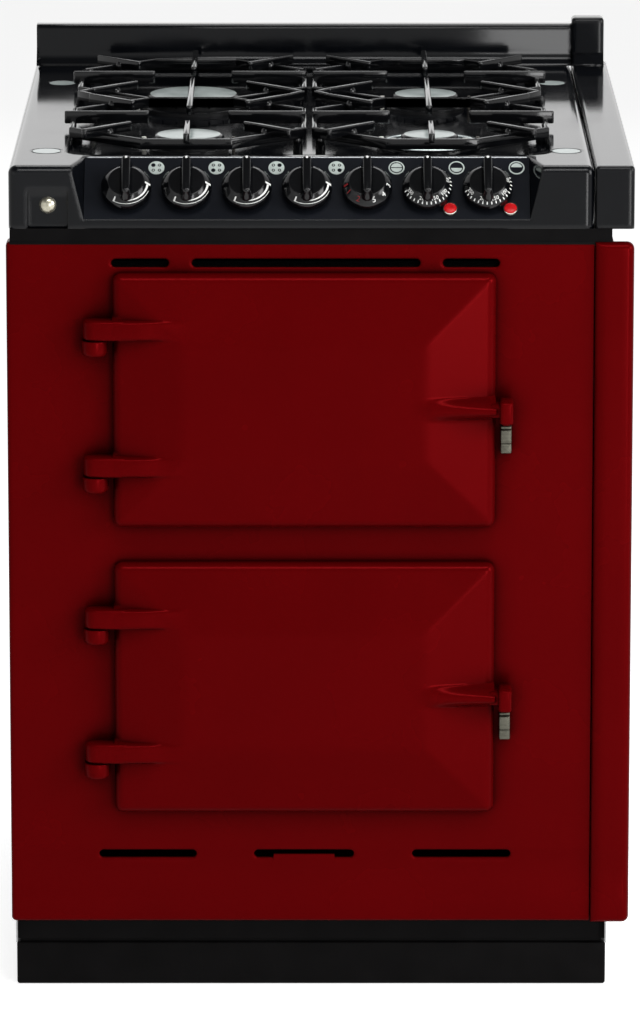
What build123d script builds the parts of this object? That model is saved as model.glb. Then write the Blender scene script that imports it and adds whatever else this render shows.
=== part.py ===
from build123d import *
from math import cos, radians, sin, tan
import os

# A free-standing range cooker: a four-burner gas hob over two side-hung electric ovens, with a filler strip
# down its right side. Millimetres, +Z up, the front faces -Y; the origin is on the floor under the middle.

# Overall
FRONT_W = 586.0
FILLER_W = 39.0
SEAM = 1.0
CASE_D = 675.0
SIDE_LAP = 4.0
CASE_LAP = 18.0
SHEET = 1.5
FIT = 0.3
RUNNING = 0.05
END_GAP = 1.0
OVERCUT = 1.0
EDGE_TEST = 1.0

# Feet, plinth and base
FOOT_R = 19.0
FOOT_PAD = 8.0
FOOT_STUD_R = 5.0
FOOT_INSET = 70.0
PLINTH_H = 49.0
PLINTH_RECESS = 20.0
PLINTH_FLOOR_GAP = 1.0
PLINTH_RETURN = 60.0
PLINTH_CLIP_W = 22.0
PLINTH_CLIP_Z = 22.0
PLINTH_CLIP_H = 10.0
TRAY_GAP = 0.5
TRAY_T = 2.0

# Red front
FRONT_Z = 73.4
FRONT_H = 701.4
FRONT_T = 4.0
FRONT_RETURN = 24.0
FRONT_ROUND = 3.5
FILLER_WEB_T = 2.5
FILLER_WEB_D = 60.0
SLOT_H = 8.6
TOP_SLOT_DROP = 21.6
TOP_SLOTS = ((-208.0, -150.5), (-127.6, 100.0), (122.5, 179.0))
LOW_SLOT_RISE = 70.6
LOW_SLOTS = ((-223.5, -125.0), (-66.6, 34.4), (93.5, 193.0))
TONGUE_INSET = 19.5
TONGUE_BACK = 1.0

# Black top
FRAME_GAP = 0.2
FRAME_H = 13.0
FRAME_W = 20.0
FRAME_INSET = 1.0
TOP_H = 63.0
TOP_OVERHANG = 1.0
TOP_WALL = 4.0
PLATE_T = 5.0
LEFT_POST_W = 74.5
RIGHT_POST_W = 63.5
POST_WALL = 9.0
POST_ROUND = 8.0
UPSTAND_D = 22.0
UPSTAND_H = 43.0
UPSTAND_END = 2.0
UPSTAND_ROUND = 4.0
FILLER_UPSTAND_D = 25.0
FILLER_UPSTAND_H = 51.0
CAP_R = 14.0
CAP_T = 2.5
CAP_LEFT = 34.8
CAP_RIGHT = 25.0
CAP_FRONT = 92.0
CAP_REAR = 152.0
BOLT_SIDE = 35.3
BOLT_RISE = 23.4
BOLT_HEAD_R = 8.5
BOLT_HEAD_H = 5.0
BOLT_SHANK_R = 4.0
POCKET_SIDE = 17.25
POCKET_D = 4.0
POCKET_TOP = 18.0
POCKET_RAMP = 8.0

# Sloped control panel
FASCIA_SILL = 10.0
FASCIA_LEAN = 45.0
FASCIA_T = 3.0
CHEEK_FLARE = 18.0
KNOB_COUNT = 7
KNOB_END = 42.5
KNOB_V = -5.0
KNOB_GAP = 4.0
KNOB_R = 25.0
KNOB_FACE_R = 20.5
KNOB_SKIRT = 5.0
KNOB_H = 16.0
WING_W = 12.5
WING_L = 46.0
WING_H = 12.0
WING_ROUND = 2.5
PUSH = 3.0
SPINDLE_R = 3.2
SPINDLE_HOLE_R = 4.5
SPINDLE_REACH = 12.0
LAMP_R = 5.5
LAMP_BEZEL_R = 7.5
LAMP_BEZEL_H = 2.0
LAMP_DOME = 3.0
LAMP_BACK = 12.0
LAMP_V = -26.7
LAMP_STEP = 22.5

# Gas
TAP_W = 26.0
TAP_FRONT = 9.0
TAP_L = 41.0
TAP_NECK_R = 7.0
PLUG_R = 9.0
RAIL_W = 16.0
RAIL_END = 20.0
PIPE_R = 4.0
PIPE_BEND = 8.0
OUTLET_DEPTH = 27.0
OUTLET_RUN = 2.0
INLET_R = 7.0
INLET_SIDE = 47.0
INLET_DROP = 28.0
INLET_BEND = 15.0
SPIGOT_R = 10.4
SPIGOT_L = 17.0
SPIGOT_COLLAR_R = 14.0
SPIGOT_COLLAR_T = 3.0

# Hob
WELL_LEFT = 56.5
WELL_RIGHT = 41.5
WELL_FRONT = 70.0
WELL_REAR = 39.0
COLUMN_SHIFT = 2.25
FRONT_ROW_SHIFT = 13.5
REAR_ROW_SHIFT = 9.5
WELL_CORNER = 22.0
WELL_LAP = 8.0
WELL_LEDGE = 18.0
WELL_DROP = 17.0
WELL_T = 2.0
CUP_R = 22.0
CUP_H = 34.0
BURNER_FLANGE_T = 3.0
BURNER_HEAD_H = 8.0
BURNER_CAP_H = 6.0
BURNER_CAP_LAP = 4.0
BURNER_CAP_ROUND = 2.0
PORT_COUNT = 16
PORT_W = 2.4
PORT_H = 4.0
CAP_RADII = {"front_left": 36.0, "rear_left": 49.5, "front_right": 29.5, "rear_right": 36.0}
FLANGE_RADII = {"front_left": 41.0, "rear_left": 54.0, "front_right": 44.5, "rear_right": 41.0}
PROBE_GAP = 5.0
PROBE_H = 14.0
ELECTRODE_R = 2.4
THERMOCOUPLE_R = 1.8

# Pan supports
BAR_T = 5.0
BAR_H = 11.0
FINGER_T = 6.0
FINGER_H = 10.0
SIDE_FINGER_H = 13.0
SUPPORT_RISE = 19.0
SUPPORT_GAP = 6.0
SUPPORT_LAP = 9.0
BAR_DROP = 7.0
RING_INSET = 2.5
RING_SLANT = (73.0, 70.0)
FINGER_INNER = 43.0
DIAGONAL_START = (58.0, 64.0)
DIAGONAL_END = (15.0, 18.0)
FRONT_FINGER_START = 16.0
FRONT_FINGER_END = 61.0
MIDDLE_FINGER_START = 35.0
MIDDLE_FINGER_END = 45.0
REAR_FINGER_START = 31.0
REAR_FINGER_END = 8.0
LINK_INSET = 2.0
SUPPORT_FOOT_R = 5.0
SUPPORT_FOOT_INSET = 6.0

# Oven doors
DOOR_LEFT = 106.0
DOOR_RIGHT = 97.5
DOOR_BELOW = 117.0
DOOR_BETWEEN = 36.0
DOOR_ABOVE = 30.4
DOOR_GAP = 3.0
DOOR_RIM = 15.0
DOOR_CROWN = 27.0
DOOR_CORNER = 5.0
FACET_W = 70.0
DOOR_POCKET = 12.0
HINGE_STAND = 17.6
HINGE_OUT = 15.0
KNUCKLE_R = 12.0
ARM_H = 20.0
ARM_ROOT = 6.0
LOW_ARM_RISE = 54.5
HIGH_ARM_DROP = 65.5
BRACKET_R = 13.0
BRACKET_H = 16.0
WASHER_R = 8.0
WASHER_H = 3.2
PIN_R = 4.5
PIN_L = 15.0
LUG_DROP = 5.9
LUG_RUN = 83.0
LUG_H = 14.0
LUG_FLANGE_H = 24.0
LUG_FLANGE_W = 10.5
LUG_OVERHANG = 17.0
LUG_PROUD = 40.0
LUG_ROUND = 3.0
STRIKER_W = 7.0
STRIKER_D = 8.0
CATCH_X = 5.0
CATCH_W = 11.0
CATCH_DROP = 47.0
CATCH_H = 28.0
CATCH_D = 14.0
CATCH_FOOT_T = 2.0
CATCH_FOOT_LAP = 2.5
SEAL_W = 8.0
SEAL_OUT = 2.0

# Ovens
OPEN_LAP = 16.0
OVEN_BACK_ROOM = 205.0
LINER_FLANGE = 15.0
BLANKET_T = 25.0
PLUG_CLEAR = 3.0
DOOR_LINER_T = 12.0
RUNNER_T = 2.0
RUNNER_RIB = 8.0
RUNNER_INSET = 40.0
RUNNER_END = 30.0
LOW_RUNNER_RISE = 60.0
HIGH_RUNNER_DROP = 67.0
RIB_H = 3.0
SHELF_RUNG_R = 2.0
SHELF_RAIL_R = 3.0
SHELF_RUNGS = 11
SHELF_SIDE_GAP = 3.0
ELEMENT_R = 4.0
GRILL_DROP = 20.0
GRILL_PITCH = 62.0
GRILL_FRONT = 110.0
GRILL_TURN = 44.0
GRILL_BEND = 25.0
FAN_CLEAR = 20.0
FAN_HUB_R = 13.0
FAN_D = 16.0
FAN_BACK = 10.0
FAN_BLADES = 8
BLADE_T = 2.0
FAN_SHAFT_R = 4.0
FAN_SHAFT_L = 34.0
FAN_HOLE_R = 9.0
MOTOR_R = 36.0
MOTOR_D = 58.0
MOTOR_ROOM = 4.0
FAN_ELEMENT_WALL = 25.5
ELEMENT_GAP = 24.0
BAFFLE_STAND = 38.0
BAFFLE_SIDE = 40.25
BAFFLE_END = 13.5
BAFFLE_LEG = 12.0
BAFFLE_HOLE_R = 7.0
BAFFLE_HOLES = 12
BAFFLE_RING_R = 42.0

# Back and electrics
BACK_INSET = 22.0
TERMINAL_SIZE = (90.0, 45.0, 70.0)
TERMINAL_SIDE = 86.0
TERMINAL_DROP = 214.8
SPARK_SIZE = (28.0, 70.0, 46.0)
SPARK_DEPTH = 230.0
SPARK_DROP = 84.8
GLAND_DROP = 60.0
GLAND_BORE_R = 7.0
GLAND_R = 11.0
GLAND_FLANGE_R = 16.0
GLAND_FLANGE_T = 4.0
GLAND_L = 24.0
CONTROL_W = 32.0
CONTROL_D = 34.0
CONTROL_BORE_D = 14.0

# Places worked out from the sizes above
LEFT_X = -(FRONT_W + SEAM + FILLER_W) / 2
FRONT_R = LEFT_X + FRONT_W
FILLER_L = FRONT_R + SEAM
RIGHT_X = FILLER_L + FILLER_W
CASE_L = LEFT_X + SIDE_LAP
CASE_R = FRONT_R + CASE_LAP
FRONT_Y = LUG_PROUD - (CASE_D + LUG_PROUD) / 2
TRAY_Z = PLINTH_H + TRAY_GAP
FRONT_TOP = FRONT_Z + FRONT_H
FRAME_Z = FRONT_TOP + FRAME_GAP
FRAME_TOP = FRAME_Z + FRAME_H
HOB_Z = FRAME_TOP + TOP_H
TOP_L = CASE_L - TOP_OVERHANG
CAP_XS = (TOP_L + CAP_LEFT, FRONT_R - CAP_RIGHT)
CAP_DEPTHS = (CAP_FRONT, CASE_D - CAP_REAR)
BACK_PANEL = CASE_D - BACK_INSET
FASCIA_Z = FRAME_TOP + FASCIA_SILL
FASCIA_RISE = HOB_Z - FASCIA_Z
FASCIA_RUN = FASCIA_RISE * tan(radians(FASCIA_LEAN))
FASCIA_SPAN = FASCIA_T / cos(radians(FASCIA_LEAN))
FASCIA_L = TOP_L + LEFT_POST_W
FASCIA_R = FRONT_R - RIGHT_POST_W
FASCIA_W = FASCIA_R - FASCIA_L
FASCIA_X = (FASCIA_L + FASCIA_R) / 2
BOLT_X = FASCIA_L - BOLT_SIDE
BOLT_Z = FRAME_TOP + BOLT_RISE
POCKET_W = LEFT_POST_W - 2 * POCKET_SIDE
LEDGE_Z = HOB_Z - PLATE_T
WELL_Z = LEDGE_Z - WELL_DROP
WELL_L = TOP_L + WELL_LEFT
WELL_R = FRONT_R - WELL_RIGHT
WELL_W = WELL_R - WELL_L
WELL_BACK = CASE_D - WELL_REAR
HOB_X = (WELL_L + WELL_R) / 2
DOOR_L = LEFT_X + DOOR_LEFT
DOOR_R = FRONT_R - DOOR_RIGHT
DOOR_W = DOOR_R - DOOR_L
DOOR_X = (DOOR_L + DOOR_R) / 2
DOOR_H = (FRONT_H - DOOR_BELOW - DOOR_BETWEEN - DOOR_ABOVE) / 2
LOWER_DOOR_Z = FRONT_Z + DOOR_BELOW
UPPER_DOOR_Z = LOWER_DOOR_Z + DOOR_H + DOOR_BETWEEN
ARM_RISES = (LOW_ARM_RISE, DOOR_H - HIGH_ARM_DROP)
LUG_RISE = DOOR_H / 2 - LUG_DROP
CATCH_RISE = LUG_RISE - CATCH_DROP
HINGE_X = DOOR_L - HINGE_STAND
OPEN_W = DOOR_W - 2 * OPEN_LAP
OPEN_H = DOOR_H - 2 * OPEN_LAP
LINER_BACK = CASE_D + FRONT_T - OVEN_BACK_ROOM
DOOR_ZS = {"upper": UPPER_DOOR_Z, "lower": LOWER_DOOR_Z}
HIGH_RUNNER_RISE = OPEN_H - HIGH_RUNNER_DROP
RUNNER_RISES = (LOW_RUNNER_RISE, (LOW_RUNNER_RISE + HIGH_RUNNER_RISE) / 2, HIGH_RUNNER_RISE)
FAN_ELEMENT_R = OPEN_H / 2 - FAN_ELEMENT_WALL
FAN_R = FAN_ELEMENT_R - FAN_CLEAR
BAFFLE_W = OPEN_W - 2 * BAFFLE_SIDE
BAFFLE_H = OPEN_H - 2 * BAFFLE_END
KNOB_PITCH = (FASCIA_W - 2 * KNOB_END) / (KNOB_COUNT - 1)
KNOB_XS = [FASCIA_L + KNOB_END + KNOB_PITCH * i for i in range(KNOB_COUNT)]
GAS_NAMES = ("rear_left", "front_left", "rear_right", "front_right")
ELECTRIC_NAMES = ("grill", "upper_oven", "lower_oven")
COLUMN_EDGE = WELL_W / 4 - COLUMN_SHIFT
COLUMNS = {"left": WELL_L + COLUMN_EDGE, "right": WELL_R - COLUMN_EDGE}
ROW_EDGE = (WELL_BACK - WELL_FRONT) / 4
FRONT_ROW = WELL_FRONT + ROW_EDGE + FRONT_ROW_SHIFT
REAR_ROW = WELL_BACK - ROW_EDGE - REAR_ROW_SHIFT
ROWS = {"front": FRONT_ROW, "rear": REAR_ROW}
MIDDLE_ROW = (FRONT_ROW + REAR_ROW) / 2
HALF_PITCH = (REAR_ROW - FRONT_ROW) / 2
SUPPORT_Z = HOB_Z + SUPPORT_RISE
FINGER_OUTER = COLUMN_EDGE + SUPPORT_LAP
FINGER_MIDDLE = (COLUMNS["right"] - COLUMNS["left"] - SUPPORT_GAP) / 2
RING_HALF_X = FINGER_MIDDLE - RING_INSET
LINK_X = RING_HALF_X - LINK_INSET
SUPPORT_FOOT_X = RING_HALF_X - SUPPORT_FOOT_INSET
DIAGONAL_INNER = (RING_HALF_X - DIAGONAL_START[0], HALF_PITCH - DIAGONAL_START[1])
DIAGONAL_OUTER = (RING_HALF_X - DIAGONAL_END[0], HALF_PITCH - DIAGONAL_END[1])
RING_FLAT = RING_HALF_X - RING_SLANT[0]
RING_SIDE = HALF_PITCH - RING_SLANT[1]
FINGER_RUNS = (
    (WELL_FRONT + FRONT_FINGER_START, FRONT_ROW - FRONT_FINGER_END),
    (FRONT_ROW + MIDDLE_FINGER_START, REAR_ROW - MIDDLE_FINGER_END),
    (REAR_ROW + REAR_FINGER_START, WELL_BACK - REAR_FINGER_END),
)
INLET_X = CASE_L + INLET_SIDE
TERMINAL_X = CASE_R - TERMINAL_SIDE
TERMINAL_Z = FRONT_TOP - TERMINAL_DROP
GLAND_Z = TERMINAL_Z - GLAND_DROP
SPARK_Z = FRONT_TOP - SPARK_DROP
TOP_SLOT_Z = FRONT_TOP - TOP_SLOT_DROP
LOW_SLOT_Z = FRONT_Z + LOW_SLOT_RISE


def at(depth):
    """The Y of a point that lies this far behind the face of the red front."""
    return FRONT_Y + depth


def block(x0, x1, d0, d1, z0, z1):
    """A box between two X, two depths behind the front, and two heights."""
    return Pos((x0 + x1) / 2, at((d0 + d1) / 2), (z0 + z1) / 2) * Box(x1 - x0, d1 - d0, z1 - z0)


def upright(x, depth, z0, z1, radius):
    """A cylinder that stands along Z."""
    return Pos(x, at(depth), (z0 + z1) / 2) * Cylinder(radius, z1 - z0)


def lying(x, z, d0, d1, radius):
    """A cylinder that lies along Y."""
    return Pos(x, at((d0 + d1) / 2), z) * Rot(90, 0, 0) * Cylinder(radius, d1 - d0)


def facing(x, depth, z):
    """A plane square to Y whose normal points out of the front."""
    return Plane(origin=(x, at(depth), z), x_dir=(1, 0, 0), z_dir=(0, -1, 0))


def profile(points, x0, x1):
    """An outline of (depth, height) points drawn out along X."""
    outline = make_face(Polyline(*[(at(d), z) for d, z in points], close=True))
    return Pos(x0, 0, 0) * extrude(Plane.YZ * outline, x1 - x0)


def plan(points, z0, z1):
    """An outline of (x, depth) points drawn up along Z."""
    outline = make_face(Polyline(*[(x, at(d)) for x, d in points], close=True))
    return extrude(Pos(0, 0, z0) * outline, z1 - z0)


def tube(points, radius, bend):
    """A round rod along straight runs joined by arcs."""
    path = FilletPolyline(*[(x, at(d), z) for x, d, z in points], radius=bend)
    return sweep(Plane(origin=path @ 0, z_dir=path % 0) * Circle(radius), path)


def sloped(x, v, w=0.0):
    """A place on the control panel: across, up the slope, and out along its normal."""
    lean = radians(FASCIA_LEAN)
    middle = (0, at(FASCIA_RUN / 2), FASCIA_Z + FASCIA_RISE / 2)
    return Plane(origin=middle, x_dir=(1, 0, 0), z_dir=(0, -cos(lean), sin(lean))) * Pos(x, v, w)


def stick(x, v, w0, w1, radius):
    """A cylinder square to the control panel."""
    return sloped(x, v, (w0 + w1) / 2) * Cylinder(radius, w1 - w0)


def bar(x0, d0, x1, d1, width, z0, z1):
    """A flat bar on edge with round ends, between two points of the hob."""
    start = Vector(x0, at(d0))
    run = Vector(x1, at(d1)) - start
    middle = start + run * 0.5
    turn = Vector(1, 0).get_signed_angle(run, Vector(0, 0, 1))
    flat = extrude(SlotOverall(run.length + width, width), z1 - z0)
    return Pos(middle.X, middle.Y, z0) * Rot(0, 0, turn) * flat


def rounded(shape, radius, *chosen):
    """The shape with the edges rounded whose middles pass every test."""
    edges = [e for e in shape.edges() if all(test(e) for test in chosen)]
    return fillet(edges, radius)


def levelling_feet():
    """Four screw feet between the floor and the base tray."""
    feet = []
    for x in (CASE_L + FOOT_INSET, CASE_R - FOOT_INSET):
        for depth in (PLINTH_RECESS + FOOT_INSET, CASE_D - FOOT_INSET):
            pad = upright(x, depth, 0, FOOT_PAD, FOOT_R)
            feet.append(pad + upright(x, depth, FOOT_PAD, TRAY_Z, FOOT_STUD_R))
    return feet


def plinth():
    """The recessed front board with its side returns and the two clips that hold it to the front feet."""
    front = PLINTH_RECESS
    skin = block(CASE_L, CASE_R, front, front + PLINTH_RETURN, PLINTH_FLOOR_GAP, PLINTH_H)
    skin -= block(CASE_L + TRAY_T, CASE_R - TRAY_T, front + TRAY_T, CASE_D, 0, TRAY_Z)
    clip_end = front + FOOT_INSET - FOOT_STUD_R - FIT
    clip_top = PLINTH_CLIP_Z + PLINTH_CLIP_H
    half = PLINTH_CLIP_W / 2
    for x in (CASE_L + FOOT_INSET, CASE_R - FOOT_INSET):
        skin += block(x - half, x + half, front + TRAY_T, clip_end, PLINTH_CLIP_Z, clip_top)
    return skin


def base_tray():
    """The open steel tray under the ovens, whose front wall shows as a black band."""
    left = CASE_L + SHEET
    right = CASE_R - SHEET
    tray = block(left, right, PLINTH_RECESS, BACK_PANEL, TRAY_Z, FRONT_Z)
    front = PLINTH_RECESS + TRAY_T
    back = BACK_PANEL - TRAY_T
    return tray - block(left + TRAY_T, right - TRAY_T, front, back, TRAY_Z + TRAY_T, HOB_Z)


def side_panel(x0):
    """A flat side sheet from the base tray to the top frame."""
    return block(x0, x0 + SHEET, FRONT_T, CASE_D, TRAY_Z, FRAME_Z)


def back_panel():
    """The inset back sheet, with the holes for the gas inlet and the cable gland."""
    left = CASE_L + SHEET
    right = CASE_R - SHEET
    sheet = block(left, right, BACK_PANEL, BACK_PANEL + SHEET, TRAY_Z, FRAME_Z)
    sheet -= lying(INLET_X, inlet_z(), BACK_PANEL - SHEET, CASE_D, INLET_R + FIT)
    return sheet - lying(TERMINAL_X, GLAND_Z, BACK_PANEL - SHEET, CASE_D, GLAND_R + FIT)


def slot(x0, x1, z):
    """A round-ended vent slot through the red front."""
    outline = facing((x0 + x1) / 2, FRONT_RETURN, z) * SlotOverall(x1 - x0, SLOT_H)
    return extrude(outline, 2 * FRONT_RETURN)


def front_panel():
    """The red front: a shallow tray with two oven mouths and six vent slots."""
    panel = block(LEFT_X, FRONT_R, 0, FRONT_RETURN, FRONT_Z, FRONT_TOP)
    panel = rounded(panel, FRONT_ROUND, lambda e: e.center().Y < at(EDGE_TEST))
    inner_left = LEFT_X + SIDE_LAP
    inner_right = FRONT_R - SIDE_LAP
    panel -= block(inner_left, inner_right, FRONT_T, CASE_D, FRONT_Z + FRONT_T, FRONT_TOP - FRONT_T)
    panel -= block(CASE_L, CASE_L + SHEET, FRONT_T, CASE_D, FRONT_Z - OVERCUT, FRONT_TOP + OVERCUT)
    for z0 in DOOR_ZS.values():
        mouth = RectangleRounded(OPEN_W, OPEN_H, DOOR_CORNER)
        panel -= extrude(facing(DOOR_X, FRONT_RETURN, z0 + DOOR_H / 2) * mouth, 2 * FRONT_RETURN)
    for x0, x1 in TOP_SLOTS:
        panel -= slot(x0, x1, TOP_SLOT_Z)
    middle = LOW_SLOTS[len(LOW_SLOTS) // 2]
    for x0, x1 in LOW_SLOTS:
        cut = slot(x0, x1, LOW_SLOT_Z)
        if (x0, x1) == middle:
            left, right = x0 + TONGUE_INSET, x1 - TONGUE_INSET
            cut -= block(left, right, TONGUE_BACK, FRONT_RETURN, LOW_SLOT_Z - SLOT_H, LOW_SLOT_Z)
        panel -= cut
    return panel


def front_filler_strip():
    """The narrow red strip on the right, with the web that fastens it to the side panel."""
    strip = block(FILLER_L, RIGHT_X, 0, FRONT_RETURN, FRONT_Z, FRONT_TOP)
    strip = rounded(strip, FRONT_ROUND, lambda e: e.center().Y < at(EDGE_TEST))
    strip -= block(LEFT_X, RIGHT_X - SIDE_LAP, FRONT_T, CASE_D, FRONT_Z - OVERCUT, FRONT_TOP + OVERCUT)
    low, high = FRONT_Z + FRONT_T, FRONT_TOP - FRONT_T
    return strip + block(CASE_R, CASE_R + FILLER_WEB_T, FRONT_T, FILLER_WEB_D, low, high)


def top_frame():
    """The flat ring that ties the cabinet together and carries the top."""
    ring = block(CASE_L, CASE_R, FRAME_INSET, CASE_D, FRAME_Z, FRAME_TOP)
    front, back = FRAME_INSET + FRAME_W, CASE_D - FRAME_W
    return ring - block(CASE_L + FRAME_W, CASE_R - FRAME_W, front, back, FRAME_Z, FRAME_TOP)


def bolt_pocket():
    """The shallow pocket in the left post, ramped out at its top."""
    floor_top = BOLT_Z + POCKET_TOP - POCKET_RAMP
    out = -OVERCUT
    outline = ((out, FRAME_TOP), (POCKET_D, FRAME_TOP), (POCKET_D, floor_top), (0, BOLT_Z + POCKET_TOP),
               (out, BOLT_Z + POCKET_TOP))
    return profile(outline, BOLT_X - POCKET_W / 2, BOLT_X + POCKET_W / 2)


def fascia_room():
    """The cut between the posts of the top: the panel's slope, its flared ends and the space behind."""
    lean = tan(radians(FASCIA_LEAN))
    far = FASCIA_RISE
    rim = FASCIA_RUN + FASCIA_SPAN + FIT
    sill = FASCIA_SPAN + FIT
    back = rim + WELL_T
    outline = ((sill, FRAME_TOP), (sill, FASCIA_Z), (-far, FASCIA_Z), (-far, HOB_Z + far),
               (rim + far * lean, HOB_Z + far), (rim - PLATE_T * lean, LEDGE_Z), (back, LEDGE_Z),
               (back, FRAME_TOP))
    inner = sloped(FASCIA_X, 0) * Rectangle(FASCIA_W, 4 * far)
    outer = sloped(FASCIA_X, 0, far) * Rectangle(FASCIA_W + 2 * CHEEK_FLARE, 4 * far)
    return profile(outline, FASCIA_L, FASCIA_R) + loft([inner, outer])


def top_plate():
    """The black top: a hollow casting with the hob opening, two front posts and the slope between them."""
    shell = block(TOP_L, FRONT_R, 0, CASE_D, FRAME_TOP, HOB_Z)
    shell = rounded(shell, POST_ROUND,
                    lambda e: e.center().Z > FRAME_TOP + EDGE_TEST,
                    lambda e: e.center().Y < at(CASE_D - EDGE_TEST))
    behind = FASCIA_RUN + FASCIA_SPAN + FIT + WELL_T
    left = TOP_L + TOP_WALL
    right = FRONT_R - TOP_WALL
    shell -= block(left, right, behind, CASE_D - TOP_WALL, FRAME_TOP, LEDGE_Z)
    shell -= block(left, FASCIA_L - CHEEK_FLARE - TOP_WALL, POST_WALL, behind, FRAME_TOP, LEDGE_Z)
    shell -= block(FASCIA_R + CHEEK_FLARE + TOP_WALL, right, POST_WALL, behind, FRAME_TOP, LEDGE_Z)
    shell -= fascia_room()
    middle = Pos(HOB_X, at((WELL_FRONT + WELL_BACK) / 2), LEDGE_Z)
    shell -= middle * extrude(RectangleRounded(WELL_W, WELL_BACK - WELL_FRONT, WELL_CORNER), 2 * PLATE_T)
    for x in CAP_XS:
        for depth in CAP_DEPTHS:
            shell -= upright(x, depth, HOB_Z - CAP_T, HOB_Z + CAP_T, CAP_R + FIT)
    shell -= bolt_pocket()
    return shell - lying(BOLT_X, BOLT_Z, 0, 2 * POST_WALL, BOLT_SHANK_R + RUNNING)


def top_plate_caps():
    """Four flush round caps over the fixings of the top plate."""
    return [upright(x, depth, HOB_Z - CAP_T, HOB_Z, CAP_R) for x in CAP_XS for depth in CAP_DEPTHS]


def rail_bolt():
    """The dome-headed bolt in the pocket of the left post."""
    ball_r = (BOLT_HEAD_R ** 2 + BOLT_HEAD_H ** 2) / (2 * BOLT_HEAD_H)
    ball = Pos(BOLT_X, at(POCKET_D - BOLT_HEAD_H + ball_r), BOLT_Z) * Sphere(ball_r)
    dome = ball & lying(BOLT_X, BOLT_Z, POCKET_D - 2 * BOLT_HEAD_H, POCKET_D, BOLT_HEAD_R)
    return dome + lying(BOLT_X, BOLT_Z, POCKET_D, 2 * POST_WALL, BOLT_SHANK_R)


def upstand():
    """The low black bar along the back of the top plate."""
    rise = block(TOP_L + UPSTAND_END, FRONT_R, CASE_D - UPSTAND_D, CASE_D, HOB_Z, HOB_Z + UPSTAND_H)
    return rounded(rise, UPSTAND_ROUND, lambda e: e.center().Z > HOB_Z + EDGE_TEST)


def top_filler_strip():
    """The black top of the filler, hollow below, with its own taller upstand block."""
    strip = block(FILLER_L, RIGHT_X, 0, CASE_D, FRAME_TOP, HOB_Z)
    strip = rounded(strip, POST_ROUND / 2,
                    lambda e: e.center().Z > FRAME_TOP + EDGE_TEST,
                    lambda e: e.center().Y < at(CASE_D - EDGE_TEST))
    strip -= block(LEFT_X, RIGHT_X - TOP_WALL, TOP_WALL, CASE_D - TOP_WALL, FRAME_TOP, LEDGE_Z)
    front, top = CASE_D - FILLER_UPSTAND_D, HOB_Z + FILLER_UPSTAND_H
    rise = block(FILLER_L, RIGHT_X - TOP_WALL, front, CASE_D, LEDGE_Z, top)
    return strip + rounded(rise, UPSTAND_ROUND, lambda e: e.center().Z > HOB_Z)


def control_fascia():
    """The sloped panel plate with holes for seven spindles and two lamps."""
    top = FASCIA_RUN + FASCIA_SPAN
    outline = ((0, FASCIA_Z), (FASCIA_RUN, HOB_Z), (top, HOB_Z), (FASCIA_SPAN, FASCIA_Z))
    plate = profile(outline, FASCIA_L + FIT, FASCIA_R - FIT)
    for x in KNOB_XS:
        plate -= stick(x, KNOB_V, -2 * FASCIA_T, FASCIA_T, SPINDLE_HOLE_R)
    for x in lamp_xs():
        plate -= stick(x, LAMP_V, -2 * FASCIA_T, FASCIA_T, LAMP_R + RUNNING)
    return plate


def lamp_xs():
    """The two lamps stand to the right of the two oven knobs."""
    return [x + LAMP_STEP for x in KNOB_XS[-2:]]


def neon_lamps():
    """Two red lenses through the panel, each with a thin rim and a low dome."""
    lamps = []
    for x in lamp_xs():
        rim = stick(x, LAMP_V, 0, LAMP_BEZEL_H, LAMP_BEZEL_R)
        ball_r = (LAMP_R ** 2 + LAMP_DOME ** 2) / (2 * LAMP_DOME)
        ball = sloped(x, LAMP_V, LAMP_BEZEL_H + LAMP_DOME - ball_r) * Sphere(ball_r)
        dome = ball & stick(x, LAMP_V, LAMP_BEZEL_H, LAMP_BEZEL_H + 2 * LAMP_DOME, LAMP_R)
        lamps.append(rim + dome + stick(x, LAMP_V, -LAMP_BACK, 0, LAMP_R))
    return lamps


def knob(x):
    """A round dial with a bevelled edge and a wing bar across it."""
    top = KNOB_GAP + KNOB_H
    edge = KNOB_GAP + KNOB_SKIRT
    outline = ((0, KNOB_GAP), (KNOB_R, KNOB_GAP), (KNOB_R, edge), (KNOB_FACE_R, top), (0, top))
    dial = revolve(Plane.XZ * make_face(Polyline(*outline, close=True)), Axis.Z)
    wing = extrude(SlotOverall(WING_L, WING_W, rotation=90), WING_H + WING_ROUND)
    wing = Pos(0, 0, top - WING_ROUND) * wing
    wing = rounded(wing, WING_ROUND, lambda e: e.center().Z > top + WING_H - EDGE_TEST)
    return sloped(x, KNOB_V) * (dial + wing)


def gas_knob(x):
    """A knob that slides in along its spindle."""
    return knob(x) - stick(x, KNOB_V, 0, SPINDLE_REACH + PUSH + END_GAP, SPINDLE_R + RUNNING)


def electric_knob(x):
    """A knob with its own shaft into the control behind the panel."""
    return knob(x) + stick(x, KNOB_V, END_GAP - FASCIA_T - CONTROL_BORE_D, KNOB_GAP, SPINDLE_R)


def gas_taps():
    """Four tap bodies, each bored for its plug and necked for its spindle."""
    taps = []
    for x in KNOB_XS[:len(GAS_NAMES)]:
        front = -TAP_FRONT
        body = sloped(x, KNOB_V, front - TAP_L / 2) * Box(TAP_W, TAP_W, TAP_L)
        body += stick(x, KNOB_V, front, -FASCIA_T, TAP_NECK_R)
        body -= stick(x, KNOB_V, front - TAP_L, front - FASCIA_T, PLUG_R + RUNNING)
        taps.append(body - stick(x, KNOB_V, front - TAP_L, 0, SPINDLE_R + RUNNING))
    return taps


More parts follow.
